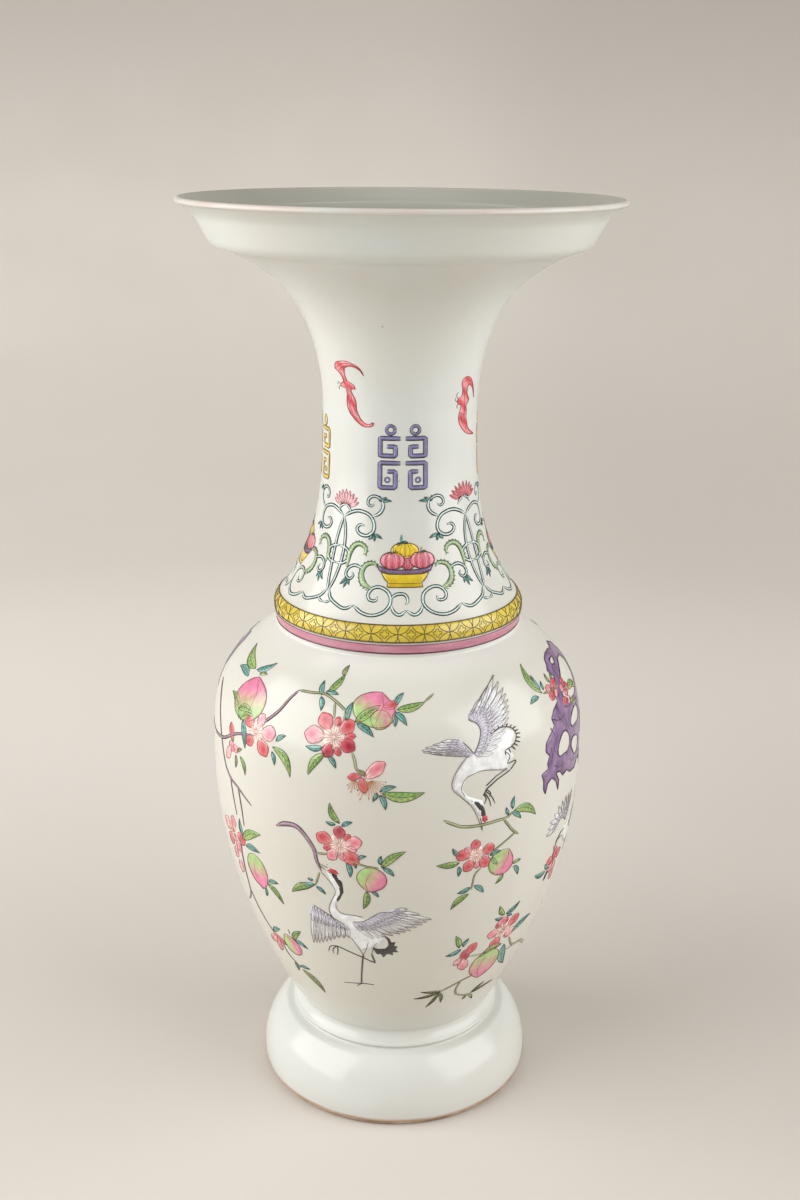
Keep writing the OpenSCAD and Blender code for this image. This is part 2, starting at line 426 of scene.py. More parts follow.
def glaze():
    """Clear glaze over white clay: creamy on the body, cooler above, thin and worn at lip and foot, with painted
    light on the shoulder under the collar and painted shade inside the mouth.
    """
    n = Nodes("porcelain_glaze")
    z = n.add("ShaderNodeSeparateXYZ", Vector=n.place()).outputs[2]
    body = linear(211, 208, 196)
    neck = linear(208, 210, 203)
    tone = n.mix(n.ramp(z, 0.33, 0.42), body, neck)
    tone = n.mix(n.ramp(z, 0.085, 0.055), tone, linear(209, 210, 203))
    cloud = n.ramp(n.noise(9, 3), 0.35, 0.7, 0.0, 0.5)
    tone = n.mix(cloud, tone, linear(205, 200, 187))
    patch = n.ramp(n.noise(2.4, 2), 0.45, 0.65, 0.0, 0.35)
    tone = n.mix(patch, tone, linear(214, 214, 208))
    # Painted light: a lighter band on the shoulder just under the collar, to lift the shade that the collar casts
    # there.
    shoulder = n.math("MULTIPLY", n.ramp(z, (COLLAR_Z - 14) * MM, COLLAR_Z * MM),
                      n.ramp(z, (COLLAR_Z + 4) * MM, (COLLAR_Z + 2) * MM))
    tone = n.mix(shoulder, tone, linear(222, 219, 210))
    level = n.vector("MULTIPLY", n.place(), (1, 1, 0)).outputs["Vector"]
    normal = n.add("ShaderNodeNewGeometry").outputs["Normal"]
    outward = n.vector("DOT_PRODUCT", normal, level).outputs["Value"]
    # Painted shade: the inside of the mouth and neck, where the surface faces the axis, is darkened as shade in the
    # hollow.
    bowl = n.math("MULTIPLY", n.ramp(z, (MOUTH_Z - 10) * MM, (HEIGHT - 20) * MM), n.ramp(outward, 0.02, -0.01))
    tone = n.mix(bowl, tone, linear(164, 162, 150))
    worn = n.math("MULTIPLY", n.ramp(z, (HEIGHT - 4.6) * MM, (HEIGHT - 1.2) * MM),
                  n.ramp(n.noise(26, 4), 0.3, 0.62, 0.2, 1.0))
    worn = n.math("MULTIPLY", worn, n.ramp(outward, -0.02, 0.02))
    tone = n.mix(worn, tone, linear(208, 194, 184))
    foot = n.math("MULTIPLY", n.ramp(z, (RIM_TOP + 2.4) * MM, RIM_TOP * MM),
                  n.ramp(n.noise(40, 3), 0.3, 0.6, 0.4, 1.0))
    tone = n.mix(foot, tone, linear(176, 142, 118))
    speck = n.tree.nodes.new("ShaderNodeTexVoronoi")
    n.put(speck.inputs["Vector"], n.place())
    n.put(speck.inputs["Scale"], 95.0)
    rare = n.add("ShaderNodeSeparateColor", Color=speck.outputs["Color"])
    chosen = n.math("GREATER_THAN", rare.outputs[0], 0.965)
    dot = n.ramp(speck.outputs["Distance"], 0.075, 0.03)
    tone = n.mix(n.math("MULTIPLY", n.math("MULTIPLY", dot, chosen), 0.75), tone, linear(120, 96, 70))
    fine = n.noise(55, 2)
    broad = n.noise(16, 2, (1, 1, 2.2))
    height = n.math("ADD", n.math("MULTIPLY", fine, 0.3), broad)
    bump = n.add("ShaderNodeBump", Strength=0.32, Distance=0.0006, Height=height)
    rough = n.ramp(n.noise(30, 3), 0.3, 0.8, 0.18, 0.27)
    return n.finish(tone, Roughness=rough, IOR=1.42, Normal=bump.outputs[0],
                    Coat_Weight=0.12, Coat_Roughness=0.14)


def bare_clay(name, pale, dark, scale):
    """Unglazed clay with a sanded grain and burnt patches."""
    n = Nodes(name)
    tone = n.mix(n.ramp(n.noise(scale, 5), 0.35, 0.68), pale, dark)
    grit = n.ramp(n.noise(scale * 22, 2), 0.62, 0.74)
    tone = n.mix(grit, tone, linear(96, 72, 52))
    bump = n.add("ShaderNodeBump", Strength=0.5, Distance=0.0004, Height=n.noise(scale * 30, 3))
    return n.finish(tone, Roughness=n.ramp(n.noise(scale * 6), 0.3, 0.7, 0.7, 0.92),
                    Normal=bump.outputs[0])


def enamel(name, roughness):
    """Opaque overglaze enamel in the colours painted on each piece, a little uneven as it pools."""
    n = Nodes(name)
    paint = n.tree.nodes.new("ShaderNodeVertexColor")
    paint.layer_name = "paint"
    pooled = n.ramp(n.noise(210, 3), 0.3, 0.75, 0.84, 1.1)
    grey = n.add("ShaderNodeCombineColor", Red=pooled, Green=pooled, Blue=pooled)
    tone = n.mix(1.0, paint.outputs["Color"], grey.outputs[0], "MULTIPLY")
    return n.finish(tone, Roughness=roughness, IOR=1.52, Coat_Weight=0.3, Coat_Roughness=0.08)


def band_enamel(name, base, deep):
    """Enamel laid in a band: brush streaks run round the collar and pool in places."""
    n = Nodes(name)
    streak = n.ramp(n.noise(38, 4, (1, 1, 5)), 0.3, 0.72)
    tone = n.mix(streak, base, deep)
    tone = n.mix(n.ramp(n.noise(260, 2), 0.62, 0.75, 0.0, 0.5), tone, deep)
    bump = n.add("ShaderNodeBump", Strength=0.3, Distance=0.0003, Height=n.noise(120, 3))
    return n.finish(tone, Roughness=0.24, IOR=1.52, Normal=bump.outputs[0],
                    Coat_Weight=0.3, Coat_Roughness=0.1)


GLAZE = glaze()
BISCUIT = bare_clay("biscuit_clay", linear(188, 164, 142), linear(150, 118, 92), 60)
SLIP = bare_clay("slip_clay", linear(214, 203, 184), linear(196, 180, 156), 80)
YELLOW_BAND = band_enamel("yellow_band", linear(218, 196, 78), linear(198, 172, 46))
ROSE_BAND = band_enamel("rose_band", linear(202, 142, 156), linear(182, 112, 130))
PAINT = enamel("painted_enamel", 0.22)


# ---------------------------------------------------------------- thrown sections

def curved(points):
    outline = Outline(points, 1)
    return outline.rz, outline.normal


def skirt_hollow():
    """Arc under the foot skirt, from its top down to the bare rim."""
    radius = SKIRT_ROUND - WALL_FOOT
    top = SKIRT_CENTRE[1] + math.sqrt(radius ** 2 - (inner_r(SKIRT_TOP) - SKIRT_CENTRE[0]) ** 2)
    return [(SKIRT_CENTRE[0] + math.sqrt(radius ** 2 - (z - SKIRT_CENTRE[1]) ** 2), z)
            for z in levels(top, RIM_TOP, 2)]


def foot_pieces():
    hollow = skirt_hollow()
    upper = seat(SKIRT_TOP, 0)
    skirt = OUTSIDE.between(RIM_TOP, SKIRT_TOP, OUTER_STEP)
    start = tuple(skirt[0][0])
    runs = [joined(skirt, start, upper[0]), *straight(*upper, hollow[0]), curved(hollow),
            *straight(hollow[-1], start)]
    lathe("glazed_foot_skirt", runs, GLAZE, ["foot_skirt"])
    out, back = start[0] - 0.4, hollow[-1][0]
    rim = [(back, 1.0), (RIM_LAND_R[0], 0.3), (RIM_LAND_R[0] + 0.6, 0.0), (RIM_LAND_R[1] - 0.6, 0.0),
           (RIM_LAND_R[1], 0.3), (out - 0.5, RIM_TOP * 0.45), (out, RIM_TOP), (back, RIM_TOP)]
    lathe("bare_foot_rim", straight(*rim, rim[0]), BISCUIT, ["foot_rim"])


def mouth_piece():
    lower = seat(MOUTH_Z, SEAM)
    outside = OUTSIDE.between(MOUTH_Z + SEAM, HEIGHT, OUTER_STEP)
    throat = [(inner_r(z), z) for z in levels(BOWL_END_Z, lower[3][1], 4)]
    rim = arc(LIP_CENTRE, LIP_ROUND, 90, 145, 5)
    slope = [tuple(a + (b - a) * share for a, b in zip(rim[-1], throat[0])) for share in (0.08, 0.2, 0.4, 0.7)]
    inside = spline(rim + slope + throat, 3)
    runs = [*straight(*reversed(lower)), joined(outside, lower[0], inside[0]),
            joined(curved(inside), inside[0], lower[3])]
    lathe("glazed_mouth", runs, GLAZE, ["mouth"])


BAND_LIFT = 0.35


def collar_band(name, z0, z1, material):
    """A flat band of enamel with soft edges, on the collar's roll."""
    base, normal = OUTSIDE.between(z0, z1, 0.8)
    rise = np.minimum(1, np.minimum(base[:, 1] - z0, z1 - base[:, 1]) / 0.9).clip(0, 1)
    face = base + normal * (BAND_LIFT * np.sqrt(rise))[:, None]
    back = (base - normal * 0.3)[::-1]
    runs = [curved(face), *straight(face[-1], back[0]), curved(back), *straight(back[-1], face[0])]
    lathe(name, runs, material, [name.removeprefix("fired_")])


def thrown_pieces():
    foot_pieces()
    sections = [("waist_ring", SKIRT_TOP, WAIST_Z), ("lower_body", WAIST_Z, MID_Z),
                ("upper_body", MID_Z, COLLAR_Z), ("collar_ring", COLLAR_Z, COLLAR_TOP),
                ("neck", COLLAR_TOP, MOUTH_Z)]
    for name, z0, z1 in sections:
        wall_section("glazed_" + name, z0, z1, GLAZE)
    mouth_piece()
    seams = [("foot_slip", SKIRT_TOP), ("waist_slip", WAIST_Z), ("body_slip", MID_Z),
             ("shoulder_slip", COLLAR_Z), ("collar_slip", COLLAR_TOP), ("mouth_slip", MOUTH_Z)]
    for name, z in seams:
        slip_seam("glazed_" + name, z, GLAZE)
    collar_band("fired_yellow_enamel_band", low("yellow_enamel_band"), high("yellow_enamel_band"),
                YELLOW_BAND)
    collar_band("fired_rose_enamel_band", low("rose_enamel_band"), high("rose_enamel_band"),
                ROSE_BAND)
    for name, material in [("floor_disc", GLAZE), ("floor_slip", SLIP)]:
        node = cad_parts[name]
        node.data.materials.clear()
        node.data.materials.append(material)


thrown_pieces()


# ---------------------------------------------------------------- painting tools

FILM_LIFT = 0.16
LINE_LIFT = 0.3
EDGE_LIFT = 0.04
BURIED = -0.22
LINE_BEVEL = 0.12
FILM_PITCH = 2.0
LINE_PITCH = 1.3


def resampled(points, step):
    """Even steps along a line of points."""
    points = np.asarray(points, float)
    length = np.concatenate([[0], np.cumsum(np.hypot(*np.diff(points, axis=0).T))])
    count = max(2, math.ceil(length[-1] / step))
    at = np.linspace(0, length[-1], count + 1)
    return np.stack([np.interp(at, length, points[:, i]) for i in (0, 1)], 1)


def inside(points, loops):
    """True for points within an odd number of the closed loops, so that holes are left out."""
    x, y = points[:, 0, None], points[:, 1, None]
    odd = np.zeros(len(points), bool)
    for loop in loops:
        ax, ay = loop.T
        bx, by = np.roll(loop, -1, 0).T
        crosses = (ay > y) != (by > y)
        rise = np.where(by == ay, 1e-12, by - ay)
        odd ^= (crosses & (x < ax + (y - ay) * (bx - ax) / rise)).sum(1) % 2 == 1
    return odd


def nearest(points, others):
    return np.sqrt(((points[:, None] - others[None]) ** 2).sum(2)).min(1)


def mixed(a, b, share):
    share = np.clip(share, 0, 1)[:, None]
    return np.asarray(a)[None, :] * (1 - share) + np.asarray(b)[None, :] * share


def flat_colour(colour):
    return lambda xy: np.tile(colour, (len(xy), 1))


class Spot:
    """A flat frame on the wall, in millimetres: x to the right, y up, turned by some degrees."""

    def __init__(self, painter, theta, z, turn=0.0):
        self.flip = painter.flip
        self.origin = np.array([math.radians(painter.shift + self.flip * theta), float(OUTSIDE.s_of(z))])
        self.radius = float(OUTSIDE.at(self.origin[1])[0])
        self.theta = theta
        c, s = math.cos(math.radians(turn)), math.sin(math.radians(turn))
        self.turn = np.array([[c, s], [-s, c]])

    def wall(self, xy):
        """Angle in radians and length along the outline, for points in this frame."""
        flat = np.asarray(xy, float) @ self.turn
        return self.origin + flat * (self.flip / self.radius, 1)

    def flat(self, places):
        """Points in this frame for (angle, height) places."""
        places = np.asarray(places, float)
        across = np.radians(places[:, 0] - self.theta) * self.radius
        up = OUTSIDE.s_of(places[:, 1]) - self.origin[1]
        return np.stack([across, up], 1) @ self.turn.T


class Painter:
    """Collects what is painted in each colour on one part of the vase, and makes one piece of each."""

    def __init__(self, name, shift=0.0, flip=1.0, ground=0.0, coats=None):
        self.name, self.shift, self.flip, self.ground = name, shift, flip, ground
        self.coats = {} if coats is None else coats

    def turned(self, shift, flip=1.0):
        """The same coats, painted further round the vase. flip stretches, and mirrors if it is negative."""
        return Painter(self.name, shift, flip, self.ground, self.coats)

    def spot(self, theta, z, turn=0.0):
        return Spot(self, theta, z, turn)

    def towards(self, base, tip):
        """Frame at base whose x axis runs to tip, and the distance."""
        dx, dy = self.spot(*base).flat([tip])[0]
        return self.spot(*base, math.degrees(math.atan2(dy, dx))), math.hypot(dx, dy)

    def put(self, family, verts, faces, colours):
        coat = self.coats.setdefault(family, {"verts": [], "faces": [], "paint": [], "count": 0})
        faces = [tuple(i + coat["count"] for i in face) for face in faces]
        coat["faces"] += [face[::-1] for face in faces] if self.flip < 0 else faces
        coat["verts"].append(verts)
        coat["paint"].append(colours)
        coat["count"] += len(verts)

    def film(self, family, spot, outline, shade, holes=(), lift=FILM_LIFT, pitch=FILM_PITCH):
        """A closed skin of enamel with soft edges. shade gives the colours of points in the frame."""
        loops = [resampled(np.vstack([loop, loop[:1]]), pitch * 0.6)[:-1] for loop in (outline, *holes)]
        rim = np.vstack(loops)
        low_corner, high_corner = rim.min(0), rim.max(0)
        rows = np.arange(low_corner[1] + pitch / 2, high_corner[1], pitch * 0.87)
        grid = np.array([(x, y) for j, y in enumerate(rows)
                         for x in np.arange(low_corner[0] + pitch * (0.25 + j % 2 / 2), high_corner[0], pitch)])
        if len(grid):
            grid = grid[inside(grid, loops)]
            grid = grid[nearest(grid, rim) > pitch * 0.4] if len(grid) else grid
        points = np.vstack([rim, grid]) if len(grid) else rim
        edges, start = [], 0
        for loop in loops:
            edges += [(start + i, start + (i + 1) % len(loop)) for i in range(len(loop))]
            start += len(loop)
        found = geometry.delaunay_2d_cdt([Vector(p) for p in points], edges, [], 0, 1e-7)
        flat = np.array([tuple(v) for v in found[0]])
        tris = np.array(found[2])
        tris = tris[inside(flat[tris].mean(1), loops)]
        a, b, c = (flat[tris[:, i]] for i in range(3))
        turn = (b[:, 0] - a[:, 0]) * (c[:, 1] - a[:, 1]) - (b[:, 1] - a[:, 1]) * (c[:, 0] - a[:, 0])
        tris = tris[np.abs(turn) > 1e-9]
        tris[turn[np.abs(turn) > 1e-9] < 0] = tris[turn[np.abs(turn) > 1e-9] < 0][:, ::-1]
        depth = nearest(flat, rim)
        dome = EDGE_LIFT + (lift - EDGE_LIFT) * np.sqrt(np.clip(depth / 1.2, 0, 1))
        place = spot.wall(flat)
        top = surface(place[:, 0], place[:, 1], self.ground + dome)
        bottom = surface(place[:, 0], place[:, 1], np.full(len(flat), self.ground + BURIED))
        count = len(flat)
        sides = {(int(t[i]), int(t[(i + 1) % 3])) for t in tris for i in range(3)}
        faces = [tuple(int(i) for i in t) for t in tris]
        faces += [tuple(int(i) + count for i in t[::-1]) for t in tris]
        faces += [(j, i, i + count, j + count) for i, j in sorted(sides) if (j, i) not in sides]
        colours = shade(flat)
        self.put(family, np.vstack([top, bottom]), faces, np.vstack([colours, colours]))

    def line(self, family, spot, path, width, colour, lift=LINE_LIFT, taper=0.35, smooth=True):
        """A brush line along a path in the frame. width may change from point to point."""
        path = np.asarray(path, float)
        widths = np.broadcast_to(width, len(path)).astype(float)
        if smooth and len(path) > 2:
            share = np.linspace(0, 1, len(path))
            path = spline(path, 6)
            widths = np.interp(np.linspace(0, 1, len(path)), share, widths)
        length = np.concatenate([[0], np.cumsum(np.hypot(*np.diff(path, axis=0).T))])
        count = max(2, math.ceil(length[-1] / LINE_PITCH))
        along = np.linspace(0, length[-1], count + 1)
        path = np.stack([np.interp(along, length, path[:, i]) for i in (0, 1)], 1)
        widths = np.interp(along, length, widths)
        ends = np.minimum(along, along[::-1]) / np.maximum(widths * 1.5, 1e-6)
        widths = widths * (taper + (1 - taper) * np.clip(ends, 0, 1))
        place = spot.wall(path)
        radius = OUTSIDE.at(place[:, 1])[0]
        dx, dy = np.gradient(place[:, 0]) * radius, np.gradient(place[:, 1])
        size = np.maximum(np.hypot(dx, dy), 1e-9)
        step = np.stack([-dy / size / radius, dx / size], 1) * (widths / 2)[:, None] * math.copysign(1, self.flip)
        left, right = place + step, place - step
        rows = [surface(side[:, 0], side[:, 1], np.full(count + 1, self.ground + height))
                for side, height in ((left, lift - LINE_BEVEL), (place, lift), (right, lift - LINE_BEVEL),
                                     (place, BURIED))]
        verts = np.stack(rows, 1).reshape(-1, 3)
        faces = [(4 * i + k, 4 * i + (k + 1) % 4, 4 * i + 4 + (k + 1) % 4, 4 * i + 4 + k)
                 for i in range(count) for k in range(4)]
        faces += [(3, 2, 1, 0), tuple(4 * count + k for k in range(4))]
        self.put(family, verts, faces, np.tile(colour, (len(verts), 1)))

    def dot(self, family, spot, centre, radius, colour, lift=LINE_LIFT):
        ring = arc(centre, radius, 0, 300, 5)
        self.film(family, spot, np.array(ring), flat_colour(colour), lift=lift, pitch=radius * 1.6)

    def fire(self):
        for family, coat in sorted(self.coats.items()):
            obj = add_object(f"{self.name}_{family}", np.vstack(coat["verts"]), coat["faces"], PAINT)
            paint = obj.data.color_attributes.new("paint", "FLOAT_COLOR", "POINT")
            paint.data.foreach_set("color", np.vstack(coat["paint"]).astype(np.float32).ravel())


# ---------------------------------------------------------------- colours of the enamels

LEAF = {"green": (linear(178, 198, 118), linear(112, 158, 80), linear(54, 72, 42)),
        "teal": (linear(146, 192, 178), linear(66, 138, 126), linear(28, 62, 64)),
        "olive": (linear(184, 188, 130), linear(140, 144, 90), linear(80, 74, 50))}
PETAL = {"pink": (linear(244, 204, 200), linear(222, 104, 124)),
         "red": (linear(232, 150, 148), linear(194, 44, 58)),
         "dark": (linear(214, 110, 118), linear(160, 30, 50)),
         "pale": (linear(246, 222, 214), linear(232, 150, 156))}
ROSE_LINE = linear(168, 62, 80)
INK = linear(70, 58, 54)
SEPIA = linear(98, 78, 66)
BARK = (linear(160, 132, 142), linear(98, 72, 84))
STEM = (linear(160, 164, 116), linear(98, 88, 64))
PEACH_GREEN = linear(172, 204, 128)
PEACH_PINK = linear(224, 128, 158)
STAMEN = linear(176, 84, 64)
ANTHER = linear(206, 158, 70)
GOLD = linear(206, 178, 60)
FEATHER = linear(212, 211, 220)
WHITE = linear(234, 234, 231)


# ---------------------------------------------------------------- leaves, flowers and fruit

def leaf(p, base, tip, kind="green", width=None, bend=0.1, rise=0.0):
    """Willow-shaped leaf from its stalk to its point, half light and half dark, with inked veins.

    rise lifts it over what is painted under it.
    """
    spot, length = p.towards(base, tip)
    half = (width or 1.2 + length * 0.215) / 2
    light, dark, ink = LEAF[kind]
    t = np.linspace(0, 1, 15)
    middle = bend * length * 4 * t * (1 - t)
    reach_out = half * np.sin(math.pi * t ** 0.8) ** 0.9
    upper = np.stack([t * length, middle + reach_out], 1)
    lower = np.stack([t * length, middle - reach_out], 1)

    def shade(xy):
        line = bend * 4 * xy[:, 0] * (1 - xy[:, 0] / length)
        side = (xy[:, 1] - line) / half
        return mixed(light, dark, 0.45 + 0.55 * side + 0.25 * np.sin(xy[:, 0] * 1.7))

    family = "teal" if kind == "teal" else "green"
    over = LINE_LIFT + rise
    p.film(family, spot, np.vstack([upper, lower[-2:0:-1]]), shade, pitch=1.6, lift=FILM_LIFT + rise)
    rib = np.stack([t * length, middle], 1)
    p.line("black", spot, rib[:-1:2], 0.3, ink, lift=over)
    for edge in (upper, lower):
        p.line("black", spot, edge[::2], 0.3, ink, lift=over)
    if length > 13:
        for i in (4, 6, 8, 10):
            for edge in (upper, lower):
                end = rib[i + 1] * 0.35 + edge[i + 1] * 0.65
                p.line("black", spot, [rib[i - 1], end], 0.2, ink, lift=over)


def egg(length, width, narrow=0.55):
    """Closed outline of a petal that lies along x and is widest past its middle."""
    turn = np.linspace(0, 2 * math.pi, 22, endpoint=False)
    x = length * (0.5 - 0.5 * np.cos(turn))
    point = 1 - 0.7 * np.clip((x / length - 0.66) / 0.34, 0, 1) ** 1.6
    y = width / 2 * np.sin(turn) * (narrow + (1 - narrow) * x / length) * point
    return np.stack([x, -y], 1)


def petal(p, base, tip, width, tone="pink", rise=0.0):
    spot, length = p.towards(base, tip)
    over = LINE_LIFT + rise
    rim, deep = PETAL[tone]

    def shade(xy):
        away = np.hypot((xy[:, 0] - 0.62 * length) / (0.5 * length), xy[:, 1] / (0.42 * width))
        return mixed(deep, rim, away ** 1.4)

    outline = egg(length, width)
    p.film("pink", spot, outline, shade, pitch=1.4, lift=FILM_LIFT + 0.03 + rise)
    p.line("pink", spot, np.vstack([outline, outline[:1]])[::3], 0.26, ROSE_LINE, lift=over, taper=0.8)
    for side in (-0.22, 0.22):
        p.line("pink", spot, [(length * 0.12, side * width * 0.3), (length * 0.5, side * width)], 0.2,
               ROSE_LINE, lift=over)


def stamens(p, spot, centre, count, reach_out, start=0.0, sweep=360.0, colour=STAMEN):
    for i in range(count):
        turn = math.radians(start + sweep * i / max(1, count if sweep == 360 else count - 1))
        size = reach_out * (0.82 + 0.18 * (i % 3))
        end = (centre[0] + size * math.cos(turn), centre[1] + size * math.sin(turn))
        root = (centre[0] + 0.9 * math.cos(turn), centre[1] + 0.9 * math.sin(turn))
        p.line("pink", spot, [root, end], 0.26, colour)
        p.dot("yellow" if i % 2 else "pink", spot, end, 0.5, ANTHER if i % 2 else ROSE_LINE)


def flower(p, centre, petals, spread=0.55):
    """Open blossom. Each petal is the place of its middle and its tone."""
    spot = p.spot(*centre)
    middles = spot.flat([place[:2] for place in petals])
    sizes = np.hypot(*middles.T)
    heart = sizes.mean() * 0.72
    p.film("pink", spot, np.array(arc((0, 0), heart, 0, 345, 23)), flat_colour(linear(240, 218, 204)),
           lift=FILM_LIFT - 0.04)
    for (theta, z, tone), size in zip(petals, sizes):
        away = (theta - centre[0], z - centre[1])
        base = (centre[0] + away[0] * 0.42, centre[1] + away[1] * 0.42)
        tip = (centre[0] + away[0] * 1.5, centre[1] + away[1] * 1.5)
        petal(p, base, tip, size * 2 * spread, tone)
    stamens(p, spot, (0, 0), 15, heart * 0.8)
    p.dot("green", spot, (0, 0), 0.9, LEAF["olive"][1])


def bud(p, base, tip, tone="pink", width=None):
    """Closed blossom with a green cup at its stalk."""
    spot, length = p.towards(base, tip)
    wide = width or length * 0.62
    petal(p, base, tip, wide, tone)
    cup = np.array([(-0.4, 0), (length * 0.12, wide * 0.26), (length * 0.34, wide * 0.12),
                    (length * 0.34, -wide * 0.12), (length * 0.12, -wide * 0.26)])
    p.film("green", spot, cup, flat_colour(LEAF["green"][1]), lift=FILM_LIFT + 0.07, pitch=1.2)


def peach(p, centre, width, height, turn=0.0, blush=(0.7, 0.7), point=0.18, dots=9, seed=1):
    """Ripe fruit. turn leans it, and blush is the way its red side faces."""
    spot = p.spot(*centre, turn)
    a = np.linspace(0, 2 * math.pi, 32, endpoint=False)
    lift_tip = point * np.clip(np.cos(a), 0, 1) ** 9
    cleft = 0.05 * np.exp(-((a - 0.45) / 0.25) ** 2)
    outline = np.stack([width / 2 * np.sin(a), height / 2 * (np.cos(a) * (1 - cleft) + lift_tip)], 1)

    def shade(xy):
        way = (xy[:, 0] / width * blush[0] + xy[:, 1] / height * blush[1]) * 2.3
        mottle = 0.16 * np.sin(xy[:, 0] * 0.9 + seed) * np.sin(xy[:, 1] * 0.8 - seed)
        return mixed(PEACH_GREEN, PEACH_PINK, 0.5 + way + mottle)

    p.film("pink", spot, outline, shade, pitch=1.5)
    p.line("pink", spot, np.vstack([outline, outline[:1]])[::2], 0.32, linear(124, 78, 72), taper=0.9)
    crease = [(0.02 * width, height * 0.52), (width * 0.16, height * 0.2), (width * 0.1, -height * 0.25)]
    p.line("pink", spot, crease, [0.5, 0.4, 0.2], linear(176, 84, 104))
    draw = random.Random(seed)
    for _ in range(dots):
        x, y = draw.uniform(-0.36, 0.36) * width, draw.uniform(-0.36, 0.36) * height
        if x / width * blush[0] + y / height * blush[1] > 0.02:
            p.dot("red", spot, (x, y), 0.45, linear(186, 52, 70))


def twig(p, places, width, kind=BARK, family="purple", edge=0.6):
    """Branch with inked edges. width is one number or one for each place, and the ink adds edge to it."""
    spot = p.spot(*places[0])
    path = spot.flat(places)
    widths = np.broadcast_to(width, len(path)).astype(float)
    p.line("black", spot, path, widths + edge, kind[1], lift=LINE_LIFT - 0.1)
    p.line(family, spot, path, widths * 0.8, kind[0], lift=LINE_LIFT + 0.04)


def stem(p, *places, width=1.0):
    twig(p, places, width, STEM, "green")


def leaves(p, kind, *pairs):
    """Several leaves of one kind. Each is base angle, base height, tip angle, tip height and a bend."""
    for base_theta, base_z, tip_theta, tip_z, *bend in pairs:
        leaf(p, (base_theta, base_z), (tip_theta, tip_z), kind, bend=bend[0] if bend else 0.08)


# ---------------------------------------------------------------- peach branches on the body

def upper_left_spray(p):
    twig(p, [(-80, 294), (-74, 285), (-70, 274), (-67, 262), (-64, 248), (-60, 241), (-55, 238), (-48, 231)],
         [3.0, 2.6, 2.4, 2.2, 2.0, 1.8, 1.4, 0.7])
    twig(p, [(-60, 241), (-58.5, 229), (-57, 217)], [1.4, 1.1, 0.6])
    twig(p, [(-55, 238), (-53.6, 225), (-53, 212)], [1.4, 1.1, 0.6])
    twig(p, [(-86, 262), (-75, 261), (-66, 264), (-60, 270), (-55, 275), (-47, 279)],
         [1.8, 2.0, 1.8, 1.6, 1.4, 0.9])
    twig(p, [(-44, 289), (-39.5, 298), (-37, 306), (-35, 311)], [1.8, 1.7, 1.5, 1.2])
    stem(p, (-35, 311), (-29, 311.5), (-25, 312), (-20, 309), (-16, 305), width=1.2)
    stem(p, (-20.6, 309), (-19.6, 301), width=1.0)
    leaves(p, "green", (-60, 312, -74, 320, 0.12), (-57, 287, -65.5, 295.5, -0.14),
           (-39, 277, -32, 261, 0.2), (-53.5, 261, -50.8, 250, 0.15), (-24, 313, -20, 322, -0.05))
    leaves(p, "teal", (-61, 307, -71, 308, -0.1), (-59, 312, -51.5, 319, -0.1), (-57, 292, -56.4, 284),
           (-54, 285, -51, 268, 0.05), (-38, 281, -34.5, 286), (-39, 274, -37.8, 265.5),
           (-26, 311, -27, 318), (-26, 310.5, -24.6, 303.5), (-25, 313, -20, 312.5))
    leaves(p, "olive", (-55, 263, -52.6, 266.5), (-56, 260, -56.2, 251), (-56, 311, -52, 312.5),
           (-20.6, 321, -19.8, 326))
    bud(p, (-58, 267), (-60.4, 279), "red")
    petal(p, (-60.5, 266), (-57, 262), 9, "pink")
    petal(p, (-59, 264), (-62.4, 253), 8, "pale")
    petal(p, (-57.5, 266), (-55, 262), 7, "pink")
    peach(p, (-54, 297), 33, 27, 8, blush=(-0.1, 0.8), seed=3)
    leaf(p, (-58, 289), (-50, 291), "green", bend=0.14, rise=0.09)
    leaf(p, (-55.5, 284), (-49.5, 290), "green", bend=0.1, rise=0.09)
    flower(p, (-46.5, 282), [(-50.6, 286.5, "red"), (-45.2, 290, "pink"), (-41, 284, "pink"),
                             (-42.8, 273.5, "red"), (-49, 275, "red")])


def centre_spray(p):
    petals = [(-22.2, 299, "red"), (-15, 297.5, "red"), (-14.3, 287, "dark"), (-20.2, 282.6, "dark"),
              (-25.2, 290.5, "pink")]
    small = [(-18.2, 300), (-13.4, 292.5), (-17, 282.4)]
    leaves(p, "teal", (-15.5, 300.5, -14.6, 310), (-12.4, 299.5, -6.8, 293), (-21.8, 284, -27.4, 283),
           (-20, 280, -17.4, 272.6))
    leaf(p, (-21, 281), (-26, 265.5), "green", bend=-0.1)
    for theta, z in small:
        petal(p, (-18.8 + (theta + 18.8) * 0.6, 291 + (z - 291) * 0.6),
              (-18.8 + (theta + 18.8) * 1.25, 291 + (z - 291) * 1.25), 5.5, "red")
    flower(p, (-18.8, 291), petals)
    stem(p, (-13, 284), (-12, 279), (-11.4, 274), (-9.6, 270.5), width=1.3)
    stem(p, (-16, 305), (-16.6, 300), width=1.1)
    peach(p, (-7.4, 307), 27, 21, -20, blush=(0.2, 0.8), seed=5)
    petal(p, (-4.5, 308.5), (0.4, 310.6), 7, "red")
    peach(p, (-5, 302.5), 12.5, 11.5, 160, blush=(-0.5, -0.3), dots=3, seed=8)
    leaf(p, (-13, 300), (-5.4, 309.5), "green", bend=0.02, rise=0.09)
    leaves(p, "teal", (-0.6, 309.5, 2.2, 315.5), (-1, 306.5, 3, 299.5), (-1.2, 305.5, -0.6, 298.8))
    leaf(p, (-0.2, 307.5), (9.2, 311), "green", bend=-0.06)
    stem(p, (9, 311), (12.6, 314.6), width=0.8)


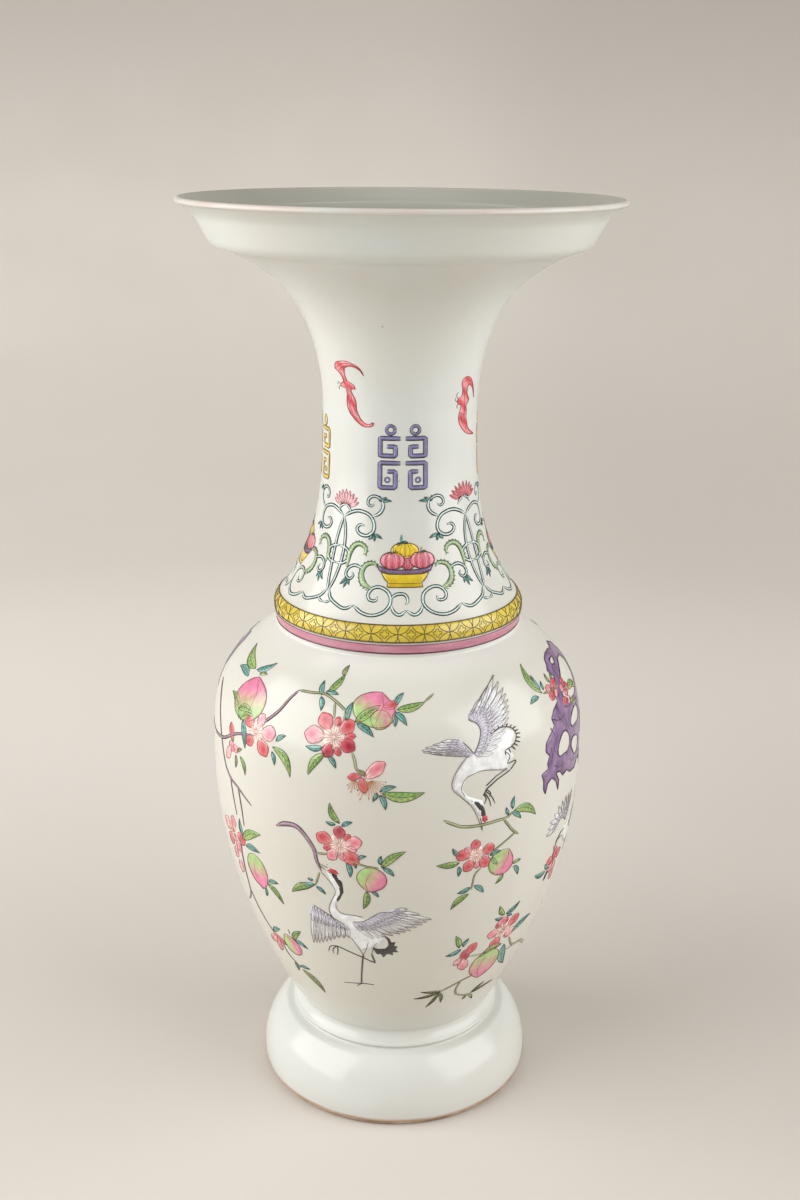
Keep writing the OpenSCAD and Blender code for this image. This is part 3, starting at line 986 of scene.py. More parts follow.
def half_blossom(p):
    """A blossom seen from the side, with its stamens hanging out of it."""
    spot = p.spot(-9.5, 269.5)
    stamens(p, spot, (4, -2), 13, 12, 225, 130, linear(206, 134, 84))
    stamens(p, spot, (-5, -2), 7, 7.5, 225, 90, linear(206, 134, 84))
    petal(p, (-9, 268.5), (-3.2, 279), 10.5, "pink")
    petal(p, (-9.8, 270), (-14, 268), 6, "red")
    petal(p, (-9.8, 269), (-9, 258.6), 7.5, "red")
    leaf(p, (-11, 273), (-8.4, 269), "olive")
    leaves(p, "teal", (-4.6, 260.5, 0, 264), (-5.4, 260, -6.6, 254), (-4.6, 258.5, -3, 248.6))
    leaf(p, (-4, 259.5), (8, 260), "green", bend=-0.1)


def middle_spray(p):
    twig(p, [(-37.5, 225), (-34, 228.5), (-30, 229), (-27, 224), (-24.4, 216), (-23.8, 209), (-22.4, 201)],
         [2.0, 3.0, 2.8, 2.6, 2.4, 2.0, 1.0])
    stem(p, (-24, 213.5), (-20, 214.5), width=1.1)
    stem(p, (-13, 212), (-9, 209.5), (-5, 208.5), width=0.9)
    leaves(p, "green", (-16.2, 237, -19.2, 250, 0.12), (-4.2, 209, 2.8, 220.6, 0.08),
           (-8.6, 191, -9.8, 177, 0.08), (-26, 188, -34, 178.6, -0.1))
    leaves(p, "teal", (-17.4, 236, -20.4, 237), (-15.6, 235.4, -12.4, 239), (-11.2, 214, -8.4, 216.5),
           (-14.2, 211, -13.4, 200), (-4.4, 211, -4.2, 217.5), (-3.8, 209, -0.4, 203),
           (-7, 191, -5, 187), (-24.6, 188.6, -21.6, 184), (-25, 190, -30.4, 188.4), (-25.4, 193, -27.4, 193.5))
    leaf(p, (-12.2, 211), (-11.6, 207), "teal")
    for theta, z, tone in [(-20.6, 219, "red"), (-13.6, 229, "red"), (-12, 220, "pale"), (-15.4, 213, "pink")]:
        petal(p, (-16.5 + (theta + 16.5) * 0.5, 222 + (z - 222) * 0.5),
              (-16.5 + (theta + 16.5) * 1.2, 222 + (z - 222) * 1.2), 5.5, tone)
    flower(p, (-16.5, 222), [(-16.3, 231, "dark"), (-21.2, 225.5, "red"), (-11.9, 225, "pink"),
                             (-18.7, 214.6, "pink"), (-12.8, 213.8, "red")])
    peach(p, (-7, 200), 19, 17, 165, blush=(-0.75, 0.15), seed=11)
    stem(p, (-23, 200), (-24, 194), (-25, 189), width=0.8)


def right_spray(p):
    stem(p, (13.5, 240.5), (16.5, 237), (19.5, 234.5), (25, 233.6), (33.5, 234.4), width=1.5)
    stem(p, (32.4, 234.2), (34.6, 235.2), (36, 237.4), width=1.2)
    stem(p, (32.4, 234.4), (36, 224.5), (38.6, 220), width=1.2)
    stem(p, (37.6, 222.2), (33.4, 217.4), (28.5, 212), width=1.0)
    leaves(p, "teal", (34.4, 236, 33.4, 241.6), (35.8, 239, 36.3, 247.6), (35.6, 237, 39.2, 230.6),
           (18.6, 214.6, 16.4, 220.6), (18.6, 207, 18.6, 199.6), (38.4, 197, 40.6, 188.8),
           (23, 190, 18.8, 186.8), (24.2, 190.6, 27.8, 183.4))
    leaves(p, "green", (36.2, 237.6, 45.6, 228.6, 0.16), (18.8, 209.6, 11.8, 209.4, 0.05),
           (34.4, 193.6, 31.8, 187.6), (37.6, 199, 41, 200), (22.6, 185, 17.2, 174.8, -0.1))
    for theta, z in [(20.6, 218.6), (27.6, 209.6), (24.4, 204.4)]:
        petal(p, (24 + (theta - 24) * 0.5, 213 + (z - 213) * 0.5),
              (24 + (theta - 24) * 1.15, 213 + (z - 213) * 1.15), 5.5, "pink")
    flower(p, (24, 213), [(23.6, 220.6, "red"), (28, 215.6, "red"), (27, 206.6, "red"),
                          (21.6, 206, "red"), (19.6, 214.6, "red")])
    peach(p, (33, 202.6), 20, 17.5, -30, blush=(0.9, -0.1), seed=13)
    leaf(p, (28.6, 210.5), (32.4, 211.8), "teal", rise=0.09)
    leaf(p, (29.6, 209), (31.6, 202.6), "teal", bend=-0.1, rise=0.09)
    stem(p, (26, 203), (24, 198.6), (23.4, 188), width=0.8)


def lower_left_sprays(p):
    twig(p, [(-56, 204), (-57.4, 190), (-58, 175), (-58.5, 160), (-60.6, 152), (-65, 145)],
         [1.6, 1.5, 1.5, 1.4, 1.1, 0.6])
    twig(p, [(-58.4, 160), (-56, 147), (-53, 137), (-50, 130)], [1.3, 1.2, 1.1, 0.8])
    leaves(p, "green", (-55, 201, -44.6, 213, 0.08), (-45, 177, -38.8, 165, 0.1), (-39, 135, -34, 146))
    leaves(p, "teal", (-54.6, 203, -55.6, 215.6), (-53.6, 197.4, -46, 198.4), (-44, 178.6, -39.4, 180.6),
           (-46.4, 172, -47, 164.6), (-50.4, 132.6, -45, 139), (-38.4, 135.6, -32.8, 131.6),
           (-43.6, 111, -43.4, 103.4), (-41, 109.6, -35.6, 110.6))
    leaf(p, (-40.4, 107), (-32, 90.6), "olive", bend=0.12)
    flower(p, (-61, 200), [(-60.4, 209, "pink"), (-56, 200.6, "red"), (-59, 192, "pink"),
                           (-64.6, 193, "red"), (-66, 203.6, "pale")])
    for base, tip, tone in [((-61, 190), (-63.6, 180), "pink"), ((-60, 181), (-61.4, 170), "pale"),
                            ((-57.4, 196), (-53.8, 202), "red")]:
        petal(p, base, tip, 8.5, tone)
    peach(p, (-49.2, 183), 21, 24, 190, blush=(0.0, 0.9), seed=17)
    peach(p, (-40.6, 128.6), 15, 17, 20, blush=(0.9, -0.2), dots=5, seed=19)
    bud(p, (-50.6, 131), (-44.6, 125.5), "red", 7)
    petal(p, (-49.4, 129), (-55, 121.6), 8, "pink")
    petal(p, (-48.6, 128), (-50.6, 115.6), 7.5, "pink")
    stem(p, (-47, 126), (-46, 117), (-43.4, 112), (-41, 108), width=0.9)
    stem(p, (-40, 139), (-40.2, 143), width=0.8)


def lower_right_sprays(p):
    leaves(p, "green", (22.4, 140.4, 20.4, 151.6, -0.06), (38.6, 158, 35.6, 167.6, 0.08))
    leaves(p, "teal", (23.8, 140.6, 25.6, 147.4), (23.4, 139, 17.8, 135, 0.1), (39.2, 158.4, 45, 164.6, -0.1),
           (38.2, 156, 34.6, 157.6), (40, 156.6, 42.6, 155))
    petal(p, (25.8, 132), (29.2, 141.6), 9, "red")
    petal(p, (25, 137.6), (25.8, 127.4), 9, "dark")
    petal(p, (25, 129.6), (26.4, 118), 10, "pink")
    petal(p, (24.6, 131), (21.8, 124.6), 6.5, "pale")
    stem(p, (26.8, 130.4), (29.6, 129.4), (33, 129), width=0.8)
    for theta, z, tone in [(36.6, 151.4, "red"), (40.2, 154, "red"), (43.8, 136.4, "pink")]:
        petal(p, (40 + (theta - 40) * 0.5, 144 + (z - 144) * 0.5),
              (40 + (theta - 40) * 1.15, 144 + (z - 144) * 1.15), 6, tone)
    flower(p, (40, 144), [(44.6, 149.6, "red"), (35.4, 144.4, "pink"), (38, 134.6, "red"),
                          (44.4, 139.4, "pale"), (38.6, 152.6, "pink")])
    peach(p, (36.4, 118), 24, 25, 175, blush=(0.0, 0.62), dots=6, seed=23)
    leaf(p, (42, 131), (32.4, 126), "olive", width=6, bend=-0.14, rise=0.09)
    leaves(p, "teal", (44, 129, 50.4, 106, -0.1), (45.6, 138, 55.6, 144.4, 0.08))
    twig(p, [(88, 88), (80, 97), (72, 104), (65, 111), (58, 119), (52, 121.6), (49, 125), (45.4, 134)],
         [3.0, 2.8, 2.4, 2.2, 2.0, 1.6, 1.3, 0.9], STEM, "green")
    stem(p, (46, 121), (52, 121.4), width=1.0)
    stem(p, (33, 109.6), (27.6, 107), (23.6, 104), (19.6, 100.6), width=1.2)
    stem(p, (27.4, 107), (26.2, 100), (27.2, 94), (31, 90), (36, 88.4), width=1.0)
    for base, tip in [((19.6, 101), (10.6, 102.6)), ((18.6, 100), (8, 96)), ((18.4, 99.6), (14, 85.4)),
                      ((18.8, 99.6), (20.6, 88)), ((36, 88.6), (42, 96)), ((34.6, 88.4), (39.2, 80.6)),
                      ((33.4, 89), (32.4, 84.6)), ((37, 88.6), (49, 91.4)), ((19, 100), (16.4, 93))]:
        leaf(p, base, tip, "olive", width=2.6, bend=0.06)


def side_blossoms(p):
    for base, tip, tone in [((62, 181), (62.4, 191), "red"), ((61, 182), (56.4, 184.6), "red"),
                            ((63, 182), (68, 184), "red"), ((62.6, 180.6), (64.4, 171), "pale"),
                            ((61.6, 180.6), (60.4, 172), "pink"), ((63, 172), (64, 164), "pink")]:
        petal(p, base, tip, 8.5, tone)
    stamens(p, p.spot(62, 181.4), (0, 0), 10, 4)
    leaves(p, "teal", (57, 176.6, 50, 179.6, 0.1), (58.4, 177.6, 55.6, 183.4), (58.6, 176, 57.4, 168.6))
    stem(p, (58, 177), (61, 180), width=0.8)


# ---------------------------------------------------------------- old trunk

def ring_of(centre, width, height, turn, seed):
    """Uneven closed outline round a hole, as places on the wall."""
    a = np.linspace(0, 2 * math.pi, 14, endpoint=False)
    size = 1 + 0.16 * np.sin(2 * a + seed) + 0.1 * np.sin(3 * a + 2 * seed)
    x, y = width / 2 * size * np.cos(a), height / 2 * size * np.sin(a)
    c, s = math.cos(math.radians(turn)), math.sin(math.radians(turn))
    return [(centre[0] + u * c - v * s / 2, centre[1] + 2 * u * s + v * c) for u, v in zip(x, y)]


def trunk(p):
    """Gnarled purple trunk, eaten through by age, that the branches grow from."""
    outline = [(90, 314), (86, 316.6), (82, 314.6), (78, 315.8), (73, 315.8), (69, 314.6), (67, 312), (64.6, 309.6),
               (66.6, 305.4), (62.6, 302), (60.6, 297), (61, 293.6), (57, 290.6), (54.6, 286.6), (55.4, 281.6),
               (52, 277), (50, 273.6), (49.6, 268.4), (51.6, 264.4), (50.4, 260), (51, 256), (47.6, 254.4),
               (48.6, 249.6), (48.8, 243), (49.8, 239.6), (50.8, 246), (53, 248.4), (55.4, 244.6), (57, 236.6),
               (57.4, 243.4), (55.4, 250), (58, 249), (60, 244.6), (63, 246), (66, 242), (71, 240.4),
               (75, 244.6), (78, 241), (79.6, 247.4), (82, 236), (84, 231), (84, 241), (86.6, 246.4), (89, 243),
               (89.6, 252), (87, 259), (90, 266), (89, 276), (91, 284), (90, 294), (92, 303)]
    arch = [(70.4, 302), (75, 306), (80, 309), (85, 308), (88, 303), (87, 294), (83, 288.6), (77, 287),
            (71, 288.4), (66.4, 291.4), (66, 295), (68.6, 299.4)]
    holes = [arch, ring_of((60.8, 266), 7.2, 18, -24, 1), ring_of((72.6, 276), 9.4, 12.6, 5, 2),
             ring_of((71, 257.6), 8.4, 13, -10, 3), ring_of((82.6, 264), 5.0, 15, 8, 5),
             ring_of((73.4, 311.2), 4.6, 3.0, 0, 6)]
    spot = p.spot(75, 280)
    light, dark = linear(150, 118, 156), linear(96, 66, 110)

    def shade(xy):
        grain = np.sin(xy[:, 1] * 0.33 + np.sin(xy[:, 0] * 0.21) * 2.6) + 0.5 * np.sin(xy[:, 0] * 0.9)
        return mixed(light, dark, 0.5 + 0.32 * grain)

    loops = [spot.flat(loop) for loop in (outline, *holes)]
    p.film("purple", spot, loops[0], shade, holes=loops[1:], pitch=2.4)
    for loop in loops:
        p.line("black", spot, np.vstack([loop, loop[:1]]), 0.8, linear(66, 46, 72), taper=0.9, smooth=False)
    knots = [[(53, 282), (55, 275), (54, 268), (56, 262)], [(58, 286), (61, 280), (60, 276)],
             [(54, 256), (57, 253), (61, 252)], [(64, 300), (67, 306), (71, 310)], [(65, 264), (66, 270), (64, 276)],
             [(66, 252), (68, 248), (73, 247)], [(64, 288), (69, 285), (75, 286)], [(86, 276), (88, 270), (87, 262)],
             [(76, 248), (81, 252), (86, 250)], [(55, 286), (59, 283), (64, 284)], [(52, 270), (53, 263), (52, 257)]]
    for knot in knots:
        p.line("black", spot, spot.flat(knot), [0.9, 0.6, 0.5, 0.3][:len(knot)], linear(74, 52, 82), lift=0.27)


def trunk_blossoms(p):
    stem(p, (66, 300.4), (60.6, 301), (55, 301.6), width=0.9)
    stem(p, (70, 296), (78, 292), (88, 283), width=1.1)
    leaf(p, (54.6, 302), (53.4, 319), "green", bend=0.2)
    leaves(p, "teal", (54.4, 304, 54, 312.6), (52, 301.4, 46.8, 299.4, -0.1), (56, 303, 57, 308))
    leaves(p, "green", (61.4, 304.6, 61.6, 310), (63.6, 305, 66, 308.4), (72, 294, 82, 291, 0.1),
           (70, 288, 80, 284, -0.1))
    for base, tip, tone in [((60, 301), (58, 295.6), "red"), ((61, 302), (65.6, 304.6), "red"),
                            ((60, 300.6), (57.6, 304), "pink"), ((61.4, 300.6), (63, 296), "pink"),
                            ((69, 297), (70.6, 303), "red"), ((69.4, 296), (73, 296.6), "red"),
                            ((68.6, 296), (66, 299.6), "pink"), ((68, 291), (64, 290), "red"),
                            ((68.6, 291), (70.4, 287), "pale"), ((68.6, 292), (69.6, 295.6), "pink")]:
        petal(p, base, tip, 8, tone, rise=0.08)
    stamens(p, p.spot(60.6, 300.8), (0, 0), 9, 3)
    stamens(p, p.spot(69.2, 296.4), (0, 0), 9, 3)


# ---------------------------------------------------------------- cranes

def feather(p, root, tip, width, shaded=True):
    """One long feather, pale at its tip and grey-violet at its root."""
    spot, length = p.towards(root, tip)
    outline = egg(length, width, narrow=0.7)

    def shade(xy):
        return mixed(FEATHER if shaded else WHITE, WHITE, xy[:, 0] / length * 1.15 + 0.1)

    p.film("white", spot, outline, shade, pitch=1.8, lift=FILM_LIFT - 0.02)
    p.line("black", spot, outline[1:12:2], 0.24, linear(122, 104, 96))
    p.line("black", spot, outline[11::2], 0.24, linear(122, 104, 96))
    p.line("black", spot, [(length * 0.05, 0), (length * 0.9, 0)], 0.16, linear(160, 150, 146))


def along(places, share):
    """Place at a share of the way along a list of places."""
    places = np.asarray(places, float)
    at = np.linspace(0, 1, len(places))
    return tuple(float(np.interp(share, at, places[:, i])) for i in (0, 1))


def wing(p, bone, tips, count, width, rows=(0.48, 0.28)):
    """Spread wing: long feathers from the bone to the tips, then shorter rows of coverts over them."""
    for i in range(count):
        share = i / (count - 1)
        feather(p, along(bone, share), along(tips, share), width)
    for depth, reach_out in enumerate(rows):
        for i in range(count + 1):
            share = i / count
            root, tip = along(bone, share), along(tips, share)
            end = tuple(a + (b - a) * reach_out for a, b in zip(root, tip))
            spot, length = p.towards(root, end)
            outline = egg(length, width * 1.15, narrow=0.8)
            p.film("purple", spot, outline, flat_colour(linear(212, 209, 221)), pitch=1.8,
                   lift=FILM_LIFT + 0.04 * (depth + 1))
            p.line("black", spot, outline[6:18:2], 0.24, linear(150, 136, 144), lift=LINE_LIFT + 0.03 * (depth + 1), taper=0.6)
    spot = p.spot(*bone[0])
    p.line("black", spot, spot.flat(bone), 0.5, SEPIA)


def body_film(p, places):
    spot = p.spot(*places[0])
    p.film("white", spot, spot.flat(places), flat_colour(WHITE), lift=0.12)


def ink(p, places, width=0.36, colour=SEPIA, smooth=True):
    spot = p.spot(*places[0])
    p.line("black", spot, spot.flat(places), width, colour, smooth=smooth)


def black_film(p, places):
    spot = p.spot(*places[0])
    p.film("black", spot, spot.flat(places), flat_colour(linear(52, 44, 42)), lift=FILM_LIFT + 0.05, pitch=1.5)


def red_cap(p, places):
    spot = p.spot(*places[0])
    p.film("red", spot, spot.flat(places), flat_colour(linear(196, 60, 76)), lift=FILM_LIFT + 0.08, pitch=1.2)


def standing_crane(p):
    """Crane on one leg with half-open wings, looking back over its shoulder."""
    wing(p, [(-26.4, 173), (-23, 170), (-19.5, 166), (-16, 162)],
         [(-29.2, 140), (-26.4, 141.6), (-23, 145), (-19.4, 149.6), (-15.2, 151.6)], 10, 4.2, (0.42,))
    body_film(p, [(-20.6, 201), (-19.4, 193), (-18.6, 186), (-20, 179), (-21, 173), (-20.5, 168), (-19, 163),
                  (-16.4, 158), (-15, 152), (-13.4, 146), (-11.6, 142), (-9, 144), (-6, 146), (-3.6, 152),
                  (-4, 158), (-7, 164), (-10, 169), (-12, 170.8), (-16, 170.6), (-18, 173), (-18.4, 177),
                  (-17.6, 182), (-16, 187), (-15.8, 194), (-17, 200)])
    wing(p, [(-13.6, 165.6), (-10, 167), (-7, 171.6), (-4.6, 175), (-0.6, 176)],
         [(-7, 153), (-3, 155), (1.6, 158), (5, 160.6), (8.6, 165), (11.4, 169), (3.6, 178.4)], 13, 4.4, (0.5, 0.3))
    black_film(p, [(-20.2, 201.6), (-17.4, 200.4), (-15.9, 195), (-15.7, 188), (-17, 182.4), (-18.6, 177.6),
                   (-18.2, 182.4), (-17.2, 187.4), (-17.4, 192), (-18.6, 196.6)])
    red_cap(p, [(-20.6, 202.4), (-19.4, 204.6), (-17.6, 203.6), (-16.8, 201), (-18.6, 200.8)])
    black_film(p, [(-3.8, 157), (-1.8, 154), (-1.2, 150.6), (0.2, 151.2), (-0.3, 147.6), (1, 147.2), (0.2, 144.6),
                   (1.2, 142), (-0.8, 142), (-0.6, 139.4), (-2.6, 140.4), (-4, 137), (-4.8, 140), (-6.2, 139.6),
                   (-7.8, 145.8), (-5.6, 144.6), (-3.2, 145.2), (-2.2, 148), (-2.4, 152)])
    ink(p, [(-22.4, 200.6), (-19.6, 193.6), (-18.4, 187), (-20, 179.4), (-21, 173), (-20.5, 168), (-18.6, 162),
            (-15.4, 158)])
    ink(p, [(-18.5, 178), (-18.2, 173.6), (-16.2, 171), (-13, 171), (-10, 170.4)])
    ink(p, [(-21, 202.6), (-24, 207), (-20.2, 204.6)], 0.5)
    ink(p, [(-14.6, 152), (-12.6, 145), (-11, 138.6)])
    ink(p, [(-8.8, 150), (-9.6, 144), (-10.6, 139)])
    ink(p, [(-5.6, 150), (-7, 146.6), (-8, 139)])
    p.dot("white", p.spot(-18.8, 201), (0, 0), 0.55, WHITE)
    leg = linear(64, 54, 48)
    ink(p, [(-10.8, 139), (-11.2, 135), (-12.2, 122), (-13, 110.4)], [1.3, 1.1, 0.9, 1.1], leg, smooth=False)
    ink(p, [(-8, 139.6), (-6.9, 131.6)], [1.2, 1.0], leg)
    ink(p, [(-6.9, 131.6), (-11, 135.6), (-20, 142.6)], [1.1, 0.9, 0.9], leg, smooth=False)
    for toe in [[(-13, 110.4), (-16, 109.6), (-20.4, 108.4)], [(-13, 110), (-15, 107.4)],
                [(-13, 110.4), (-10.6, 110.6), (-7.8, 110.4)], [(-20, 142.6), (-22.6, 141), (-23.8, 135.6)],
                [(-20, 142.6), (-21.8, 139), (-22, 134.8)], [(-20, 142.6), (-20, 139), (-20.6, 134)]]:
        ink(p, toe, [0.9, 0.7, 0.5][:len(toe)], leg)


def diving_crane(p):
    """Crane that comes down with raised wings and its neck bent under it."""
    body_film(p, [(22, 281), (19.4, 277), (17.2, 271), (16, 265), (16.4, 259.6), (19, 254), (22.4, 246.6), (24, 240),
                  (26, 240.6), (25.2, 250), (20.4, 254.6), (18.8, 260), (20.2, 266.4), (24.6, 269), (28, 268.6),
                  (33.6, 267), (36, 274), (35, 280), (37.4, 288), (34, 291.6), (29, 290), (25, 286)])
    wing(p, [(22.6, 280.8), (21.6, 284), (19.6, 288.4)],
         [(14.4, 282.6), (9.6, 283.6), (6.6, 285), (8.4, 287.6), (13, 290)], 8, 3.6, (0.6, 0.34))
    wing(p, [(22.6, 280.6), (24.4, 286.4), (25.6, 293), (24.8, 297.4), (22.4, 299.8)],
         [(29, 279), (32.6, 286), (35.6, 293.6), (37.4, 300), (38.6, 306), (39, 312), (37.6, 318.6),
          (29, 310)], 15, 4.2, (0.46, 0.27))
    ink(p, [(22.4, 299.8), (25, 304.6), (29, 310.6), (33.6, 315), (38, 318.4)], 0.42)
    ink(p, [(21.6, 281.6), (19, 276.6), (17, 271), (15.8, 265), (16.2, 259.6), (18.8, 254), (22, 246.6),
            (23.8, 239), (25.4, 229.6)])
    ink(p, [(19.8, 254.4), (18.6, 260), (20.2, 266.6), (24.6, 269.4), (28.4, 268.6), (33.4, 266.4)])
    ink(p, [(24.6, 238.6), (25.2, 234), (25.4, 229.6)], 0.5)
    black_film(p, [(20, 254.4), (22, 251.4), (24.6, 249.6), (26, 244), (26.6, 238), (25, 239.6), (24.4, 243),
                   (23, 247), (21.4, 251)])
    red_cap(p, [(25.4, 240), (26.8, 239.4), (27.2, 236), (26, 234.8), (25.2, 237)])
    p.dot("white", p.spot(24.6, 242.4), (0, 0), 0.55, WHITE)
    edge = [(29.4, 290.6), (32, 292.6), (34.6, 292.4), (36.8, 290.4), (37.8, 287), (37.2, 283), (35.6, 280.4),
            (33, 279)]
    ink(p, edge, 0.8, INK)
    for i in range(15):
        root = along(edge, i / 14)
        away = (root[0] - 33.4, (root[1] - 285.6) / 2)
        size = math.hypot(*away)
        tip = (root[0] + away[0] / size * 1.5 + 0.3, root[1] + 2 * away[1] / size * 1.3 - 0.8)
        ink(p, [root, tip], [1.5, 0.6], linear(60, 50, 48))
    ink(p, [(33, 278.6), (34.6, 274.6), (33.6, 270.6), (36.8, 271), (34.6, 266)], [0.5, 0.6, 0.7, 1.0, 0.9], INK)
    leg = linear(64, 54, 48)
    ink(p, [(34.6, 266), (30, 262), (26.6, 257.4), (25.4, 253)], [0.9, 0.9, 1.0, 0.9], leg, smooth=False)
    ink(p, [(33.4, 267.4), (29.6, 264.2), (26.2, 259.2)], [0.7, 0.7, 0.8], leg, smooth=False)
    for claw in [[(25.6, 254), (26.4, 250.6), (25.8, 247.4)], [(26, 256), (28, 252), (29.4, 246.4)],
                 [(25.8, 255), (27.4, 249.6), (28, 245)], [(26.4, 257), (27.8, 254), (27.4, 251.6)]]:
        ink(p, claw, [0.9, 0.7, 0.5], leg)


def side_crane(p):
    """Crane with its neck arched forward and its near wing raised."""
    wing(p, [(66, 207), (63.6, 211), (61, 212), (59, 209)],
         [(70, 226), (64, 227), (58.6, 224), (54, 216), (52.6, 207)], 9, 4.2, (0.5, 0.28))
    body_film(p, [(59.6, 193), (60.4, 198), (62.6, 201.4), (65.6, 202.4), (69, 201), (73, 203), (80, 204),
                  (86, 200), (90, 193), (86, 186), (78, 183), (71, 186), (67.6, 192), (65, 196.4), (62.4, 196),
                  (61, 191)])
    wing(p, [(72, 199), (75.4, 203), (79, 207), (83, 209)],
         [(84, 186), (88, 196), (91, 206), (93, 216), (90, 226)], 10, 4.2, (0.5, 0.28))
    black_film(p, [(60, 192), (60.4, 197), (62.4, 200.8), (65.4, 202), (69.6, 199.6), (67, 199.4), (64, 198.4),
                   (62, 195.6), (61.2, 192)])
    red_cap(p, [(59.4, 193.4), (60.4, 193.8), (61, 190.6), (60, 189.6)])
    ink(p, [(60.6, 190.6), (60, 185), (61.4, 189.6)], 0.5)
    ink(p, [(62.4, 196), (65, 196.6), (67.8, 192), (71.4, 186), (78, 182.8), (86, 185.6)])
    black_film(p, [(85, 199), (89, 198), (90.6, 194.6), (92, 196), (92.4, 191), (94, 190.6), (92, 187), (92.6, 184),
                   (89.6, 184.6), (87, 186.4), (88.8, 190), (88, 194.6)])
    leg = linear(64, 54, 48)
    ink(p, [(80, 183), (84, 172), (92, 165)], [1.1, 0.9, 0.8], leg, smooth=False)
    ink(p, [(77, 183), (80, 170), (88, 161)], [1.1, 0.9, 0.8], leg, smooth=False)
    for toe in [[(92, 165), (95, 165.6)], [(92, 165), (94, 161.6)], [(88, 161), (91, 161)], [(88, 161), (89, 157)]]:
        ink(p, toe, [0.8, 0.5], leg)


def body_scene(p):
    """Everything on one half of the body. The other half repeats it, turned half way round."""
    trunk(p)
    trunk_blossoms(p)
    upper_left_spray(p)
    centre_spray(p)
    half_blossom(p)
    middle_spray(p)
    right_spray(p)
    lower_left_sprays(p)
    lower_right_sprays(p)
    side_blossoms(p)
    standing_crane(p)
    diving_crane(p)
    side_crane(p)
    p.fire()


# ---------------------------------------------------------------- scrollwork round the foot of the neck

TENDRIL = (linear(220, 231, 224), linear(26, 70, 66))
ACANTHUS = (linear(172, 194, 146), linear(84, 112, 80))
COLUMNS = (-40.0, 52.5, 142.0, 231.0)
BASKETS = (4.0, 97.0, 186.5, 275.5)
HALF_BAY = 45.0


def tendril(p, places, width=0.95):
    """Pale scroll between two dark lines."""
    twig(p, places, np.array(width) * 1.2, TENDRIL, "teal", 1.25)


def shoot(p, places):
    """Three small dark leaves at the end of a tendril. The places are the root and the tips."""
    for tip in places[1:]:
        leaf(p, places[0], tip, "teal", width=2.0, bend=0.08)


def acanthus(p, places, widths):
    """Curling leaf with a toothed back."""
    widths = np.array(widths) * 1.25
    twig(p, places, widths, ACANTHUS, "green")
    spot = p.spot(*places[0])
    path = resampled(spline(spot.flat(places), 6), 2.1)
    ahead = np.gradient(path, axis=0)
    ahead /= np.hypot(*ahead.T)[:, None]
    size = np.interp(np.linspace(0, 1, len(path)), np.linspace(0, 1, len(widths)), widths)
    for point, way, wide in zip(path[1:-1], ahead[1:-1], size[1:-1]):
        outward = np.array([-way[1], way[0]])
        start = point + outward * wide * 0.45
        p.line("green", spot, [start, start + outward * 1.1 + way * 1.1], [1.6, 0.6], ACANTHUS[1], lift=0.26)
        p.line("green", spot, [point - outward * wide * 0.2, point + outward * wide * 0.3 + way * 0.6], 0.3,
               ACANTHUS[1], lift=LINE_LIFT + 0.1)


def half_bay(p):
    """Scrolls from the middle of a column, at 0 degrees, to the middle of a basket."""
    tendril(p, [(0.4, 365), (2.4, 374), (3.7, 386), (3.2, 398), (0.6, 409)], 1.0)
    tendril(p, [(0, 391.6), (4.4, 391), (8, 388.6), (8.2, 384.6), (5, 381.8), (0, 381.2)])
    tendril(p, [(0.6, 409.6), (5, 412.4), (12, 414.4), (20, 412.6), (23.8, 407.6), (23.4, 402.6), (19, 399.8),
                (14, 400.6), (11.6, 403.4), (13.6, 406), (17, 405.8)], [1.0] * 9 + [0.8, 0.6])
    shoot(p, [(23.4, 401), (30, 398.6), (20.6, 397.6), (25, 396.8)])
    tendril(p, [(22.4, 411.6), (27.4, 414), (29.8, 418), (28.8, 422.4)], 0.9)
    shoot(p, [(28.2, 421), (36, 421.8), (32.4, 424), (27, 425)])
    tendril(p, [(28.6, 422.4), (23.6, 424.4), (19.4, 422.8), (18.6, 419.4), (21.4, 418), (23, 419.6)],
            [0.8, 0.8, 0.8, 0.7, 0.6, 0.5])
    acanthus(p, [(8.6, 380), (8.4, 387), (10.6, 392.4), (14.6, 394.6), (19, 393), (19.8, 389.6), (18, 388.6)],
             [2.4, 2.6, 2.6, 2.2, 1.8, 1.2, 0.7])
    acanthus(p, [(26, 369.4), (20.6, 372.4), (18.8, 378), (21, 382.8), (26, 384), (28, 381.6)],
             [2.8, 3.0, 2.6, 2.2, 1.6, 0.8])
    tendril(p, [(19, 380.4), (14, 381.8), (9.8, 379.6), (9, 375.6), (12, 373.6), (14, 375.8), (12.6, 377.6)],
            [0.8, 0.9, 0.9, 0.8, 0.7, 0.6, 0.5])
    shoot(p, [(9.6, 374.6), (6.4, 369.6), (9.4, 368), (12.4, 370)])
    tendril(p, [(0.6, 366), (3.4, 361.4), (8.4, 358.6), (13.4, 357.2), (17.8, 359.6)])
    tendril(p, [(17.8, 359.6), (22.4, 356.4), (28, 355.2), (33.6, 357.4), (36.8, 362), (36, 367.4), (31.4, 370.6),
                (27, 370), (24.6, 366.6), (25.8, 363.4), (29.2, 363.2), (29.6, 365.6)],
            [0.95] * 9 + [0.8, 0.7, 0.6])
    tendril(p, [(37.2, 361), (38.8, 357.6), (41.6, 356), (45, 358.4)])
    tendril(p, [(4.4, 360.6), (2.4, 358.8), (0, 358.4)], 0.8)


